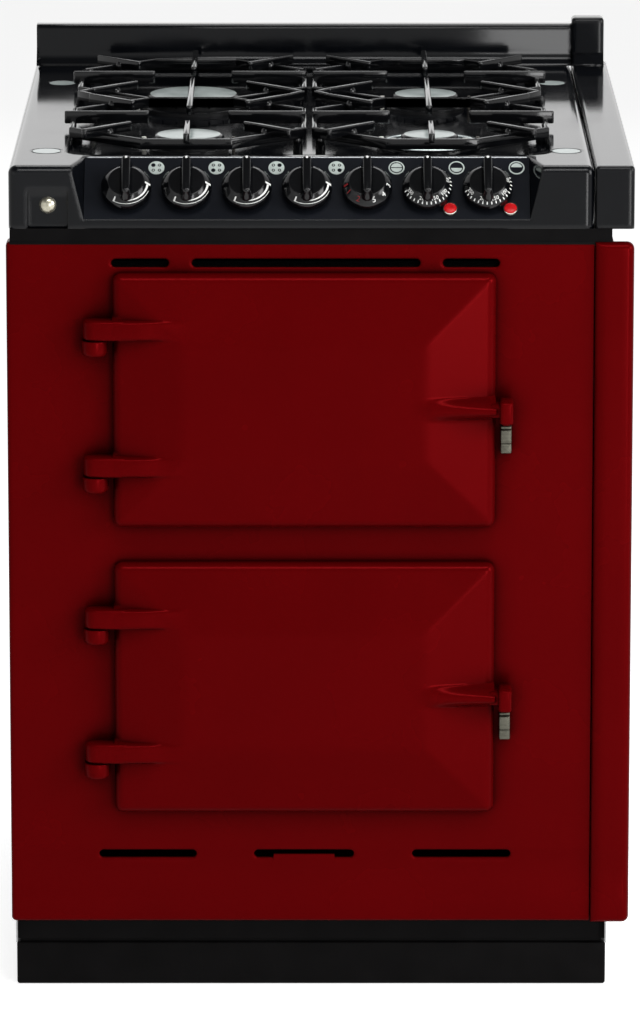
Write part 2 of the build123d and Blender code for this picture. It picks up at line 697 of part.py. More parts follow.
def tap_spindle(x):
    """The plug that turns in the tap, with the spindle that carries the knob."""
    plug_top = -TAP_FRONT - FASCIA_T - FIT
    plug = stick(x, KNOB_V, -TAP_FRONT - TAP_L + FIT, plug_top, PLUG_R)
    return plug + stick(x, KNOB_V, plug_top, SPINDLE_REACH, SPINDLE_R)


def on_slope(v, w):
    """The depth and height of a point of the control panel's own frame."""
    point = sloped(0, v, w).position
    return point.Y - FRONT_Y, point.Z


def inlet_z():
    """The height of the gas inlet pipe along the side of the ovens."""
    return on_slope(KNOB_V, -TAP_FRONT - TAP_L - RAIL_W / 2)[1] - INLET_DROP


def gas_pipework():
    """The gas rail with its inlet pipe and spigot, and the four pipes from the taps to the burners."""
    taps = KNOB_XS[:len(GAS_NAMES)]
    rail_w = -TAP_FRONT - TAP_L - RAIL_W / 2
    length = taps[-1] - taps[0] + 2 * RAIL_END
    rail = sloped((taps[0] + taps[-1]) / 2, KNOB_V, rail_w) * Box(length, RAIL_W, RAIL_W)
    depth, z = on_slope(KNOB_V, rail_w)
    start = taps[0] - RAIL_END
    low = depth + INLET_DROP
    wall = BACK_PANEL + SHEET
    run_z = inlet_z()
    route = ((start, depth, z), (INLET_X, depth, z), (INLET_X, low, run_z), (INLET_X, wall, run_z))
    inlet = tube(route, INLET_R, INLET_BEND)
    collar_end = wall + SPIGOT_COLLAR_T
    inlet += lying(INLET_X, run_z, wall, collar_end, SPIGOT_COLLAR_R)
    inlet += lying(INLET_X, run_z, collar_end, collar_end + SPIGOT_L, SPIGOT_R)
    return [rail + inlet] + [burner_pipe(x, name) for x, name in zip(taps, GAS_NAMES)]


def burner_pipe(tap_x, name):
    """The pipe from the side of a tap, back under the well and across to its burner cup."""
    row, column = name.split("_")
    burner_x = COLUMNS[column]
    depth, z = on_slope(KNOB_V, -OUTLET_DEPTH)
    start = tap_x + TAP_W / 2
    lane = start + OUTLET_RUN + PIPE_BEND
    reach = CUP_R + FIT
    if abs(lane - burner_x) < reach + PIPE_BEND:
        turn = ROWS[row] - reach - 5 * PIPE_BEND
        end = ((lane, turn, z), (burner_x, turn + 3 * PIPE_BEND, z), (burner_x, ROWS[row] - reach, z))
    else:
        side = -1 if lane < burner_x else 1
        end = ((lane, ROWS[row], z), (burner_x + side * reach, ROWS[row], z))
    return tube(((start, depth, z), (lane, depth, z), *end), PIPE_R, PIPE_BEND)


def oven_controls():
    """The grill regulator and two oven thermostats, flat against the back of the panel."""
    controls = []
    for x in KNOB_XS[len(GAS_NAMES):]:
        body = sloped(x, KNOB_V, -FASCIA_T - CONTROL_D / 2) * Box(CONTROL_W, CONTROL_W, CONTROL_D)
        controls.append(body - stick(x, KNOB_V, -FASCIA_T - CONTROL_BORE_D, 0, SPINDLE_R + RUNNING))
    return controls


def hob_well():
    """The pressed tray under the hob opening: a ledge round a deeper floor with a hole per burner cup."""
    depth = WELL_BACK - WELL_FRONT
    middle = Pos(HOB_X, at((WELL_FRONT + WELL_BACK) / 2))
    pan_w = WELL_W - 2 * WELL_LEDGE
    pan_d = depth - 2 * WELL_LEDGE
    rim = RectangleRounded(WELL_W + 2 * WELL_LAP, depth + 2 * WELL_LAP, WELL_CORNER)
    well = middle * Pos(0, 0, LEDGE_Z - WELL_T) * extrude(rim, WELL_T)
    pan = RectangleRounded(pan_w, pan_d, WELL_CORNER)
    hollow = RectangleRounded(pan_w - 2 * WELL_T, pan_d - 2 * WELL_T, WELL_CORNER - WELL_T)
    well += middle * Pos(0, 0, WELL_Z - WELL_T) * extrude(pan, WELL_DROP)
    well -= middle * Pos(0, 0, WELL_Z) * extrude(hollow, 2 * WELL_DROP)
    for x in COLUMNS.values():
        for row in ROWS.values():
            well -= upright(x, row, WELL_Z - WELL_DROP, LEDGE_Z, CUP_R + FIT)
    return well


def burner_places():
    """The name, X and depth of each burner."""
    return [(f"{row}_{column}", COLUMNS[column], ROWS[row]) for row in ROWS for column in COLUMNS]


def burner_bases():
    """Four cups through the well floor, each with a flange that rests on it."""
    bases = []
    for name, x, depth in burner_places():
        flange = upright(x, depth, WELL_Z, WELL_Z + BURNER_FLANGE_T, FLANGE_RADII[name])
        bases.append(flange + upright(x, depth, WELL_Z - CUP_H, WELL_Z, CUP_R))
    return bases


def burner_heads():
    """Four flame rings with ports cut round them."""
    heads = []
    z0 = WELL_Z + BURNER_FLANGE_T
    z1 = z0 + BURNER_HEAD_H
    for name, x, depth in burner_places():
        radius = CAP_RADII[name] - BURNER_CAP_LAP
        head = upright(x, depth, z0, z1, radius)
        ports = PolarLocations(radius, PORT_COUNT) * Box(radius / 2, PORT_W, PORT_H)
        heads.append(head - [Pos(x, at(depth), z1 - PORT_H / 2) * port for port in ports])
    return heads


def burner_caps():
    """Four round-edged enamel caps."""
    caps = []
    z0 = WELL_Z + BURNER_FLANGE_T + BURNER_HEAD_H
    for name, x, depth in burner_places():
        cap = upright(x, depth, z0, z0 + BURNER_CAP_H, CAP_RADII[name])
        caps.append(rounded(cap, BURNER_CAP_ROUND, lambda e: e.center().Z > z0 + EDGE_TEST))
    return caps


def burner_probes(radius, side):
    """One upright rod beside each burner: a spark electrode or a flame probe."""
    probes = []
    for name, x, depth in burner_places():
        out = FLANGE_RADII[name] + PROBE_GAP
        probes.append(upright(x + side * out, depth, WELL_Z, WELL_Z + PROBE_H, radius))
    return probes


def pan_support(column, outward):
    """One cast support over a front and a rear burner: two bar octagons, crossing fingers and four feet."""
    x = COLUMNS[column]
    bar_top = SUPPORT_Z - BAR_DROP
    bars = []

    def add(x0, d0, x1, d1, width, high, height):
        bars.append(bar(x + x0, d0, x + x1, d1, width, high - height, high))

    flat, side, far = RING_FLAT, RING_SIDE, HALF_PITCH
    corners = ((flat, far), (RING_HALF_X, side), (RING_HALF_X, -side), (flat, -far), (-flat, -far),
               (-RING_HALF_X, -side), (-RING_HALF_X, side), (-flat, far))
    for row in ROWS.values():
        for (x0, y0), (x1, y1) in zip(corners, corners[1:] + corners[:1]):
            add(x0, row + y0, x1, row + y1, BAR_T, bar_top, BAR_H)
        for sx in (-1, 1):
            reach = FINGER_OUTER if sx == outward else FINGER_MIDDLE
            end = sx * (reach - FINGER_T / 2)
            add(sx * FINGER_INNER, row, end, row, FINGER_T, SUPPORT_Z, SIDE_FINGER_H)
            for sy in (-1, 1):
                (x0, y0), (x1, y1) = DIAGONAL_INNER, DIAGONAL_OUTER
                add(sx * x0, row + sy * y0, sx * x1, row + sy * y1, FINGER_T, SUPPORT_Z, FINGER_H)
    for d0, d1 in FINGER_RUNS:
        add(0, d0, 0, d1, FINGER_T, SUPPORT_Z, FINGER_H)
    for sx in (-1, 1):
        for sy in (-1, 1):
            start = sx * DIAGONAL_OUTER[0]
            add(start, MIDDLE_ROW + sy * DIAGONAL_END[1], sx * LINK_X, MIDDLE_ROW, BAR_T, SUPPORT_Z, FINGER_H)
        ground = LEDGE_Z if sx == outward else WELL_Z
        for depth in (FRONT_ROW - RING_SIDE, REAR_ROW + RING_SIDE):
            bars.append(upright(x + sx * SUPPORT_FOOT_X, depth, ground, bar_top, SUPPORT_FOOT_R))
    return bars[0] + bars[1:]


def oven_liner(z0, fan):
    """An enamelled box, open at the front, with a flange behind the red front and a fan hole if needed."""
    liner = oven_block(z0, SHEET, FRONT_T, LINER_BACK + SHEET)
    liner += oven_block(z0, LINER_FLANGE, FRONT_T, FRONT_T + SHEET)
    liner -= oven_block(z0, 0, 0, LINER_BACK)
    if fan:
        liner -= lying(DOOR_X, fan_z(), LINER_BACK - OVERCUT, LINER_BACK + 2 * SHEET, FAN_HOLE_R)
    return liner


def oven_block(z0, grow, d0, d1):
    """A box round the oven mouth of one door, grown by this much on all four sides."""
    half = OPEN_W / 2 + grow
    low = z0 + OPEN_LAP - grow
    high = z0 + DOOR_H - OPEN_LAP + grow
    return block(DOOR_X - half, DOOR_X + half, d0, d1, low, high)


def blanket(z0, fan):
    """The insulation round a liner, with room for the fan motor at the back of the lower one."""
    back = LINER_BACK + SHEET
    wool = oven_block(z0, SHEET + BLANKET_T, FRONT_T + SHEET, back + BLANKET_T)
    wool -= oven_block(z0, SHEET, 0, back)
    if fan:
        wool -= lying(DOOR_X, fan_z(), back - OVERCUT, back + 2 * BLANKET_T, MOTOR_R + MOTOR_ROOM)
    return wool


def shelf_runners():
    """A ribbed side plate on each side wall of both ovens."""
    plates = []
    for z0 in DOOR_ZS.values():
        floor = z0 + OPEN_LAP
        for side in (-1, 1):
            wall = DOOR_X + side * OPEN_W / 2
            inner = wall - side * RUNNER_T
            rib_end = inner - side * RUNNER_RIB
            front, back = shelf_run()
            low, high = floor + RUNNER_RISES[0] - 2 * RUNNER_RIB, floor + RUNNER_RISES[-1] + RUNNER_RIB
            plate = block(min(wall, inner), max(wall, inner), front, back, low, high)
            for rise in RUNNER_RISES:
                z = floor + rise
                plate += block(min(wall, rib_end), max(wall, rib_end), front, back, z - RIB_H, z)
            plates.append(plate)
    return plates


def shelf_run():
    """The depths between which the runners and the shelves lie."""
    return FRONT_T + RUNNER_INSET, LINER_BACK - BAFFLE_STAND - RUNNER_END


def oven_shelf(z0):
    """A wire shelf that rests on the middle pair of ribs."""
    half = OPEN_W / 2 - RUNNER_T - SHELF_SIDE_GAP
    front, back = shelf_run()
    left, right = DOOR_X - half + SHELF_RAIL_R, DOOR_X + half - SHELF_RAIL_R
    near, far = front + SHELF_RAIL_R, back - SHELF_RAIL_R
    rails = [lying(x, 0, near, far, SHELF_RAIL_R) for x in (left, right)]
    across = Rot(0, 90, 0) * Cylinder(SHELF_RAIL_R, right - left)
    rails += [Pos((left + right) / 2, at(d), 0) * across for d in (near, far)]
    corners = [Pos(x, at(d), 0) * Sphere(SHELF_RAIL_R) for x in (left, right) for d in (near, far)]
    step = (right - left) / (SHELF_RUNGS + 1)
    rungs = [lying(left + step * (i + 1), 0, near, far, SHELF_RUNG_R) for i in range(SHELF_RUNGS)]
    shelf = rails[0] + rails[1:] + corners + rungs
    return Pos(0, 0, z0 + OPEN_LAP + RUNNER_RISES[1] + SHELF_RAIL_R) * shelf


def grill_element():
    """A rod bent to and fro under the roof of the upper oven, with both ends in its back wall."""
    z = DOOR_ZS["upper"] + DOOR_H - OPEN_LAP - GRILL_DROP
    xs = [DOOR_X + GRILL_PITCH * (i - 1.5) for i in range(4)]
    turn = LINER_BACK - GRILL_TURN
    route = ((xs[0], LINER_BACK, z), (xs[0], GRILL_FRONT, z), (xs[1], GRILL_FRONT, z), (xs[1], turn, z),
             (xs[2], turn, z), (xs[2], GRILL_FRONT, z), (xs[3], GRILL_FRONT, z), (xs[3], LINER_BACK, z))
    return tube(route, ELEMENT_R, GRILL_BEND)


def fan_z():
    """The fan's axis is in the middle of the lower oven."""
    return DOOR_ZS["lower"] + DOOR_H / 2


def fan_element():
    """An open ring element round the fan, with a leg from each end to the back wall."""
    depth = LINER_BACK - FAN_BACK - FAN_D / 2
    middle = facing(DOOR_X, depth, fan_z())
    path = middle * CenterArc((0, 0), FAN_ELEMENT_R, ELEMENT_GAP / 2 - 90, 360 - ELEMENT_GAP)
    ring = sweep(Plane(origin=path @ 0, z_dir=path % 0) * Circle(ELEMENT_R), path)
    for end in (path @ 0, path @ 1):
        ring += Pos(end) * Sphere(ELEMENT_R + FIT)
        ring += lying(end.X, end.Z, depth, LINER_BACK, ELEMENT_R)
    return ring


def fan_impeller():
    """A hub with radial blades on the shaft that runs back into the motor."""
    back = LINER_BACK - FAN_BACK
    hub = lying(DOOR_X, fan_z(), back - FAN_D, back, FAN_HUB_R)
    middle = Pos(DOOR_X, at(back - FAN_D / 2), fan_z())
    blade_l = FAN_R - FAN_HUB_R / 2
    blade = Pos(FAN_HUB_R / 2 + blade_l / 2, 0, 0) * Box(blade_l, FAN_D, BLADE_T)
    blades = [middle * Rot(0, 360 / FAN_BLADES * i, 0) * blade for i in range(FAN_BLADES)]
    return hub + blades + lying(DOOR_X, fan_z(), back, back + FAN_SHAFT_L, FAN_SHAFT_R)


def fan_motor():
    """The motor on the back of the lower oven liner, bored for the fan shaft."""
    front = LINER_BACK + SHEET
    can = lying(DOOR_X, fan_z(), front, front + MOTOR_D, MOTOR_R)
    bore_end = LINER_BACK - FAN_BACK + FAN_SHAFT_L + END_GAP
    return can - lying(DOOR_X, fan_z(), front - OVERCUT, bore_end, FAN_SHAFT_R + RUNNING)


def fan_baffle():
    """The plate in front of the fan, with a ring of air holes and four legs to the back wall."""
    front = LINER_BACK - BAFFLE_STAND
    half_w, half_h = BAFFLE_W / 2, BAFFLE_H / 2
    low, high = fan_z() - half_h, fan_z() + half_h
    plate = block(DOOR_X - half_w, DOOR_X + half_w, front, front + SHEET, low, high)
    for sx in (-1, 1):
        for sz in (-1, 1):
            x = DOOR_X + sx * (half_w - BAFFLE_LEG)
            z = fan_z() + sz * (half_h - BAFFLE_LEG)
            plate += lying(x, z, front + SHEET, LINER_BACK, BAFFLE_LEG / 2)
    ring = PolarLocations(BAFFLE_RING_R, BAFFLE_HOLES) * Cylinder(BAFFLE_HOLE_R, 4 * SHEET)
    return plate - [Pos(DOOR_X, at(front), fan_z()) * Rot(90, 0, 0) * hole for hole in ring]


def door(z0):
    """A door casting: a bevelled slab with two hinge arms on the left and a lug on the right."""
    middle = z0 + DOOR_H / 2
    edge = RectangleRounded(DOOR_W, DOOR_H, DOOR_CORNER)
    flat = RectangleRounded(DOOR_W - 2 * FACET_W, DOOR_H - 2 * FACET_W, DOOR_CORNER)
    casting = extrude(facing(DOOR_X, -DOOR_GAP, middle) * edge, DOOR_RIM - DOOR_GAP)
    rim, crown = facing(DOOR_X, -DOOR_RIM, middle), facing(DOOR_X, -DOOR_CROWN, middle)
    casting += loft([rim * edge, crown * flat], ruled=True)
    for rise in ARM_RISES:
        arm_z = z0 + rise
        casting += upright(HINGE_X, -HINGE_OUT, arm_z, arm_z + ARM_H, KNUCKLE_R)
        casting += block(HINGE_X, DOOR_L + FACET_W, -DOOR_CROWN, -ARM_ROOT, arm_z, arm_z + ARM_H)
    casting += lug(z0)
    casting -= door_pocket(z0, -DOOR_POCKET, -DOOR_GAP)
    for rise in ARM_RISES:
        bore_top = z0 + rise + PIN_L + END_GAP
        casting -= upright(HINGE_X, -HINGE_OUT, z0 + rise - OVERCUT, bore_top, PIN_R + RUNNING)
    return casting


def lug(z0):
    """The rib that grows out of the right facet to a flanged end, with the striker under it."""
    root, tip = DOOR_R - LUG_RUN, DOOR_R + LUG_OVERHANG
    neck = tip - LUG_FLANGE_W
    z = z0 + LUG_RISE
    slope = ((root, -DOOR_CROWN), (neck, -LUG_PROUD + LUG_ROUND), (neck, -ARM_ROOT), (root, -DOOR_RIM))
    rib = plan(slope, z - LUG_H / 2, z + LUG_H / 2)
    flange = block(neck, tip, -LUG_PROUD, -ARM_ROOT, z - LUG_FLANGE_H / 2, z + LUG_FLANGE_H / 2)
    flange = rounded(flange, LUG_ROUND, lambda e: e.center().Y < at(EDGE_TEST - LUG_PROUD))
    striker_x = DOOR_R + CATCH_X + CATCH_W / 2
    half = STRIKER_W / 2
    front = -(CATCH_D + STRIKER_D) / 2
    foot = z0 + CATCH_RISE + CATCH_H + FIT
    striker = block(striker_x - half, striker_x + half, front, front + STRIKER_D, foot, z)
    return rib + flange + striker


def door_pocket(z0, d0, d1):
    """The space for insulation behind the door face, as wide as the inside of the door liner."""
    inset = OPEN_LAP + PLUG_CLEAR + SHEET
    return block(DOOR_L + inset, DOOR_R - inset, d0, d1, z0 + inset, z0 + DOOR_H - inset)


def door_insulation(z0):
    """The board that fills the door between its face and its liner."""
    return door_pocket(z0, -DOOR_POCKET, DOOR_LINER_T - SHEET)


def door_liner(z0):
    """The steel pan on the back of the door, which enters the oven mouth."""
    inset = OPEN_LAP + PLUG_CLEAR
    pan = block(DOOR_L + inset, DOOR_R - inset, -DOOR_GAP, DOOR_LINER_T, z0 + inset, z0 + DOOR_H - inset)
    return pan - door_pocket(z0, -DOOR_GAP, DOOR_LINER_T - SHEET)


def door_seals():
    """A flat rope seal on the red front round each oven mouth."""
    seals = []
    for z0 in DOOR_ZS.values():
        plane = facing(DOOR_X, 0, z0 + DOOR_H / 2)
        inner = RectangleRounded(OPEN_W + 2 * SEAL_OUT, OPEN_H + 2 * SEAL_OUT, DOOR_CORNER)
        wide = 2 * (SEAL_OUT + SEAL_W)
        outer = RectangleRounded(OPEN_W + wide, OPEN_H + wide, DOOR_CORNER + SEAL_W)
        seals.append(extrude(plane * (outer - inner), DOOR_GAP - FIT))
    return seals


def hinge_brackets():
    """Four half-round brackets on the red front, each with a washer and a pin up into its door arm."""
    brackets = []
    for z0 in DOOR_ZS.values():
        for rise in ARM_RISES:
            top = z0 + rise - FIT - WASHER_H
            body = upright(HINGE_X, -HINGE_OUT, top - BRACKET_H, top, BRACKET_R)
            body += block(HINGE_X - BRACKET_R, HINGE_X + BRACKET_R, -HINGE_OUT, 0, top - BRACKET_H, top)
            body += upright(HINGE_X, -HINGE_OUT, top, top + WASHER_H, WASHER_R)
            brackets.append(body + upright(HINGE_X, -HINGE_OUT, top + WASHER_H, z0 + rise + PIN_L, PIN_R))
    return brackets


def door_catches():
    """A metal block with a foot plate on the red front, under each door lug."""
    catches = []
    for z0 in DOOR_ZS.values():
        left = DOOR_R + CATCH_X
        low = z0 + CATCH_RISE
        body = block(left, left + CATCH_W, -CATCH_D, 0, low, low + CATCH_H)
        body = rounded(body, CATCH_FOOT_T, lambda e: e.center().Y < at(EDGE_TEST - CATCH_D))
        x0, x1 = left - CATCH_FOOT_LAP, left + CATCH_W + CATCH_FOOT_LAP
        catches.append(body + block(x0, x1, -CATCH_FOOT_T, 0, low - CATCH_FOOT_LAP, low + CATCH_H))
    return catches


def electrical_boxes():
    """The terminal box on the back panel and the spark generator on the left side panel."""
    width, depth, height = TERMINAL_SIZE
    box_l = TERMINAL_X - width / 2
    terminal = block(box_l, box_l + width, BACK_PANEL - depth, BACK_PANEL, TERMINAL_Z, TERMINAL_Z + height)
    width, depth, height = SPARK_SIZE
    box_l = CASE_L + SHEET
    spark = block(box_l, box_l + width, SPARK_DEPTH, SPARK_DEPTH + depth, SPARK_Z, SPARK_Z + height)
    return [terminal, spark]


def cable_gland():
    """The bored gland through the back panel."""
    outer_face = BACK_PANEL + SHEET
    end = outer_face + GLAND_FLANGE_T
    gland = lying(TERMINAL_X, GLAND_Z, end - GLAND_L, end, GLAND_R)
    gland += lying(TERMINAL_X, GLAND_Z, outer_face, end, GLAND_FLANGE_R)
    return gland - lying(TERMINAL_X, GLAND_Z, end - GLAND_L - OVERCUT, end + OVERCUT, GLAND_BORE_R)


def save(name, made):
    """Write one node: a single solid, or a group of separate ones."""
    pieces = made if isinstance(made, list) else [made]
    solids = [solid for piece in pieces for solid in piece.solids()]
    export_step(solids[0] if len(solids) == 1 else Compound(children=solids), f"parts/{name}.step")


def main():
    os.makedirs("parts", exist_ok=True)
    save("levelling_feet", levelling_feet())
    save("plinth", plinth())
    save("base_tray", base_tray())
    save("left_side_panel", side_panel(CASE_L))
    save("right_side_panel", side_panel(CASE_R - SHEET))
    save("back_panel", back_panel())
    save("front_panel", front_panel())
    save("front_filler_strip", front_filler_strip())
    save("top_frame", top_frame())
    save("top_plate", top_plate())
    save("top_plate_caps", top_plate_caps())
    save("rail_bolt", rail_bolt())
    save("upstand", upstand())
    save("top_filler_strip", top_filler_strip())
    save("control_fascia", control_fascia())
    save("neon_lamps", neon_lamps())
    save("hob_well", hob_well())
    save("burner_bases", burner_bases())
    save("burner_heads", burner_heads())
    save("burner_caps", burner_caps())
    save("spark_electrodes", burner_probes(ELECTRODE_R, -1))
    save("flame_probes", burner_probes(THERMOCOUPLE_R, 1))
    save("left_pan_support", pan_support("left", -1))
    save("right_pan_support", pan_support("right", 1))
    save("gas_taps", gas_taps())
    save("gas_pipework", gas_pipework())
    for x, name in zip(KNOB_XS, GAS_NAMES):
        save(f"{name}_tap_spindle", tap_spindle(x))
        save(f"{name}_knob", gas_knob(x))
    for x, name in zip(KNOB_XS[len(GAS_NAMES):], ELECTRIC_NAMES):
        save(f"{name}_knob", electric_knob(x))
    save("oven_controls", oven_controls())
    for name, z0 in DOOR_ZS.items():
        save(f"{name}_oven_liner", oven_liner(z0, name == "lower"))
        save(f"{name}_oven_shelf", oven_shelf(z0))
        save(f"{name}_door", door(z0))
        save(f"{name}_door_insulation", door_insulation(z0))
        save(f"{name}_door_liner", door_liner(z0))
    save("oven_insulation", [blanket(z0, name == "lower") for name, z0 in DOOR_ZS.items()])
    save("shelf_runners", shelf_runners())
    save("grill_element", grill_element())
    save("fan_element", fan_element())
    save("fan_impeller", fan_impeller())
    save("fan_motor", fan_motor())
    save("fan_baffle", fan_baffle())
    save("door_seals", door_seals())
    save("hinge_brackets", hinge_brackets())
    save("door_catches", door_catches())
    save("electrical_boxes", electrical_boxes())
    save("cable_gland", cable_gland())


main()
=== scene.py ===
"""The look of a dual fuel range cooker: an add-on that can also be run as a script.

Every operator makes one piece, or one group of like pieces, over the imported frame. Sizes inside the functions
are millimetres in the row frame: X to the right, Y away from the front, Z up from the floor.
"""

import bpy
import numpy as np
from bpy.props import FloatProperty, FloatVectorProperty, PointerProperty
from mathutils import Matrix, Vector


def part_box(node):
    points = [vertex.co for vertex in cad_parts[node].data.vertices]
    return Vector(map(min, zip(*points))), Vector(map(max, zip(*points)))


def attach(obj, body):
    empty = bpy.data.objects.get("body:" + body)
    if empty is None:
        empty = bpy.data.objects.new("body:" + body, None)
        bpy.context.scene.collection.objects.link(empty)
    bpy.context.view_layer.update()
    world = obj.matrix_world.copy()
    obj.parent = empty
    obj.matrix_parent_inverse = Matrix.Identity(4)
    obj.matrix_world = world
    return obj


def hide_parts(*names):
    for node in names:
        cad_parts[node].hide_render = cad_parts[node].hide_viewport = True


bl_info = {
    "name": "Range Cooker Look",
    "version": (1, 0, 0),
    "blender": (4, 2, 0),
    "location": "View3D > Sidebar > Cooker",
    "description": "Builds the visible pieces, finishes and studio of a range cooker",
    "category": "Object",
}

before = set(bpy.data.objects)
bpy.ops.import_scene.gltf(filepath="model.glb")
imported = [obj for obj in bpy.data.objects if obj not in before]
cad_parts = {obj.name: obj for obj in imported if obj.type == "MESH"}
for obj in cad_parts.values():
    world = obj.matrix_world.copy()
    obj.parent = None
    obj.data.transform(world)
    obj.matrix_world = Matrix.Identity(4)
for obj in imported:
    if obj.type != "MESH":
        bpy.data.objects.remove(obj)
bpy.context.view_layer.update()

MM = 0.001
PI = np.pi
SHARP = np.radians(40)  # Edges that turn by more than this stay sharp
WELD = 1e-6  # Points closer than this, in metres, are one
HOB_Z = 851  # Top of the enamelled plate
HOB_ROWS = 225, 485  # Burner rows behind the front
BLOCK_DEPTH = 25  # The upstand block of the filler
GAS = ("rear_left", "front_left", "rear_right", "front_right")
ELECTRIC = ("grill", "upper_oven", "lower_oven")
DOORS = ("upper_door", "lower_door")


def corners(node):
    """The lowest and the highest corner of a CAD node."""
    low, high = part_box(node)
    return np.array(low) / MM, np.array(high) / MM


FRONT_Y = corners("front_panel")[0][1]
PANEL_LOW, PANEL_HIGH = corners("control_fascia")
PANEL_HALF = (PANEL_HIGH[2] - PANEL_LOW[2]) / 2
SLOPE = 0.5 ** 0.5


def size(name):
    """One of the panel's lengths."""
    return getattr(bpy.context.scene.cooker_sizes, name) / MM


# Places: an origin and three axes


def standing(x=0.0, depth=0.0, z=0.0):
    """A place whose third axis points up."""
    return np.array([(x, FRONT_Y + depth, z), (1, 0, 0), (0, 1, 0), (0, 0, 1)], float)


def facing(x, depth, z):
    """A place whose third axis points out of the front."""
    return np.array([(x, FRONT_Y + depth, z), (1, 0, 0), (0, 0, 1), (0, -1, 0)], float)


def on_panel(x, v, w=0.0):
    """A place on the sloped control panel: across, up the slope, and out of it."""
    up, out = np.array((0, SLOPE, SLOPE)), np.array((0, -SLOPE, SLOPE))
    middle = np.array((x, PANEL_LOW[1] + PANEL_HALF, PANEL_LOW[2] + PANEL_HALF))
    return np.array([middle + v * up + w * out, (1, 0, 0), up, out], float)


# Surfaces: a patch is a grid of points, whether its columns wrap round, and whether a fan closes each end


CLOSED, TUBE, SHEET = (True, True, True), (True, False, False), (False, False, False)


def rings(centres, radii, heights, place, steps):
    """P(i, a) = C(a) + r_i (cos a, sin a) at height h_i, where C(a) is the centre that lies furthest along a.

    One centre gives a lathe, two a round-ended bar, and more a rounded plate. Centres run anticlockwise.
    """
    centres = np.atleast_2d(np.asarray(centres, float))
    if len(centres) == 1:
        angle = np.linspace(0, 2 * PI, steps, endpoint=False)
    else:
        side = np.roll(centres, -1, axis=0) - centres
        last = np.arctan2(-side[:, 0], side[:, 1])
        first = np.roll(last, 1)
        turn = np.mod(last - first, 2 * PI)
        angle = (first[:, None] + turn[:, None] * np.linspace(0, 1, steps)).ravel()
    middle = np.repeat(centres, len(angle) // len(centres), axis=0)
    out = np.stack([np.cos(angle), np.sin(angle)], -1)
    flat = middle + np.asarray(radii, float)[:, None, None] * out
    lift = np.broadcast_to(np.asarray(heights, float)[:, None, None], flat.shape[:2] + (1,))
    return place[0] + np.concatenate([flat, lift], -1) @ place[1:]


def lathe(outline, place, steps=64):
    """A closed turned shape from (radius, height) points."""
    radii, heights = np.asarray(outline, float).T
    return rings((0, 0), radii, heights, place, steps), *CLOSED


def pillow(centres, radius, low, high, soft, place, steps=8, turn=5):
    """A rounded plate whose two faces meet its wall along quarter circles of radius soft."""
    low_soft, high_soft = soft if isinstance(soft, tuple) else (soft, soft)
    t = np.linspace(0, PI / 2, turn)
    radii = np.r_[radius - low_soft * (1 - np.sin(t)), radius - high_soft * (1 - np.cos(t))]
    heights = np.r_[low + low_soft * (1 - np.cos(t)), high - high_soft * (1 - np.sin(t))]
    return rings(centres, radii, heights, place, steps), *CLOSED


def oblong(width, height, radius):
    """The four corner centres of a rounded rectangle round the origin."""
    x, y = width / 2 - radius, height / 2 - radius
    return (-x, -y), (x, -y), (x, y), (-x, y)


def slab(width, height, radius, low, high, soft, place, steps=8):
    """A pillow over a rounded rectangle round the place."""
    return pillow(oblong(width, height, radius), radius, low, high, soft, place, steps)


def patch_faces(count, shape, wrap, start, end):
    """The quads of one grid and the fans that close its first and last ring."""
    rows, columns = shape[:2]
    index = count + np.arange(rows * columns).reshape(rows, columns)
    after = np.roll(index, -1, axis=1)
    left, right = (index, after) if wrap else (index[:, :-1], index[:, 1:])
    quads = np.stack([left[:-1], right[:-1], right[1:], left[1:]], -1).reshape(-1, 4)
    hub = count + rows * columns
    fans = []
    if start:
        fans.append(np.stack([np.full(columns, hub), after[0], index[0]], -1))
        hub += 1
    if end:
        fans.append(np.stack([np.full(columns, hub), index[-1], after[-1]], -1))
    return quads, np.concatenate(fans) if fans else np.empty((0, 3), int)


def outward(points, quads, tris):
    """Turns the faces of a closed surface round if it holds a negative volume."""
    every = np.concatenate([quads[:, :3], quads[:, (0, 2, 3)], tris]) - quads.min()
    a, b, c = (points[every[:, i]] for i in range(3))
    if np.einsum("ij,ij->", a, np.cross(b, c)) < 0:
        return quads[:, ::-1], tris[:, ::-1]
    return quads, tris


def smooth(mesh):
    """Shades a mesh smooth, apart from its sharp edges."""
    mesh.shade_smooth()
    mesh.set_sharp_from_angle(angle=SHARP)


def build(name, patches, finish, body="cabinet", replaces=()):
    """Joins patches into one mesh object that rides on a body and may stand for CAD nodes with the finish's slot."""
    points, faces, count = [], [], 0
    for grid, wrap, start, end in patches:
        made = [grid.reshape(-1, 3)]
        made += [grid[0].mean(0, keepdims=True)] if start else []
        made += [grid[-1].mean(0, keepdims=True)] if end else []
        made = np.concatenate(made)
        quads, tris = patch_faces(count, grid.shape, wrap, start, end)
        if start or end:
            quads, tris = outward(made - made.mean(0), quads, tris)
        points.append(made)
        faces += quads.tolist() + tris.tolist()
        count += len(made)
    mesh = bpy.data.meshes.new(name)
    mesh.from_pydata(np.concatenate(points) * MM, [], faces)
    mesh.validate()
    smooth(mesh)
    mesh.materials.append(material(finish))
    obj = bpy.data.objects.new(name, mesh)
    bpy.context.scene.collection.objects.link(obj)
    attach(obj, body)
    if replaces:
        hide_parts(*replaces)
    return obj


# Finishes: colour property, roughness range, metal, specular level, scale of the texture per metre, how much the
# colour varies, then scale per metre, strength and depth of the surface relief

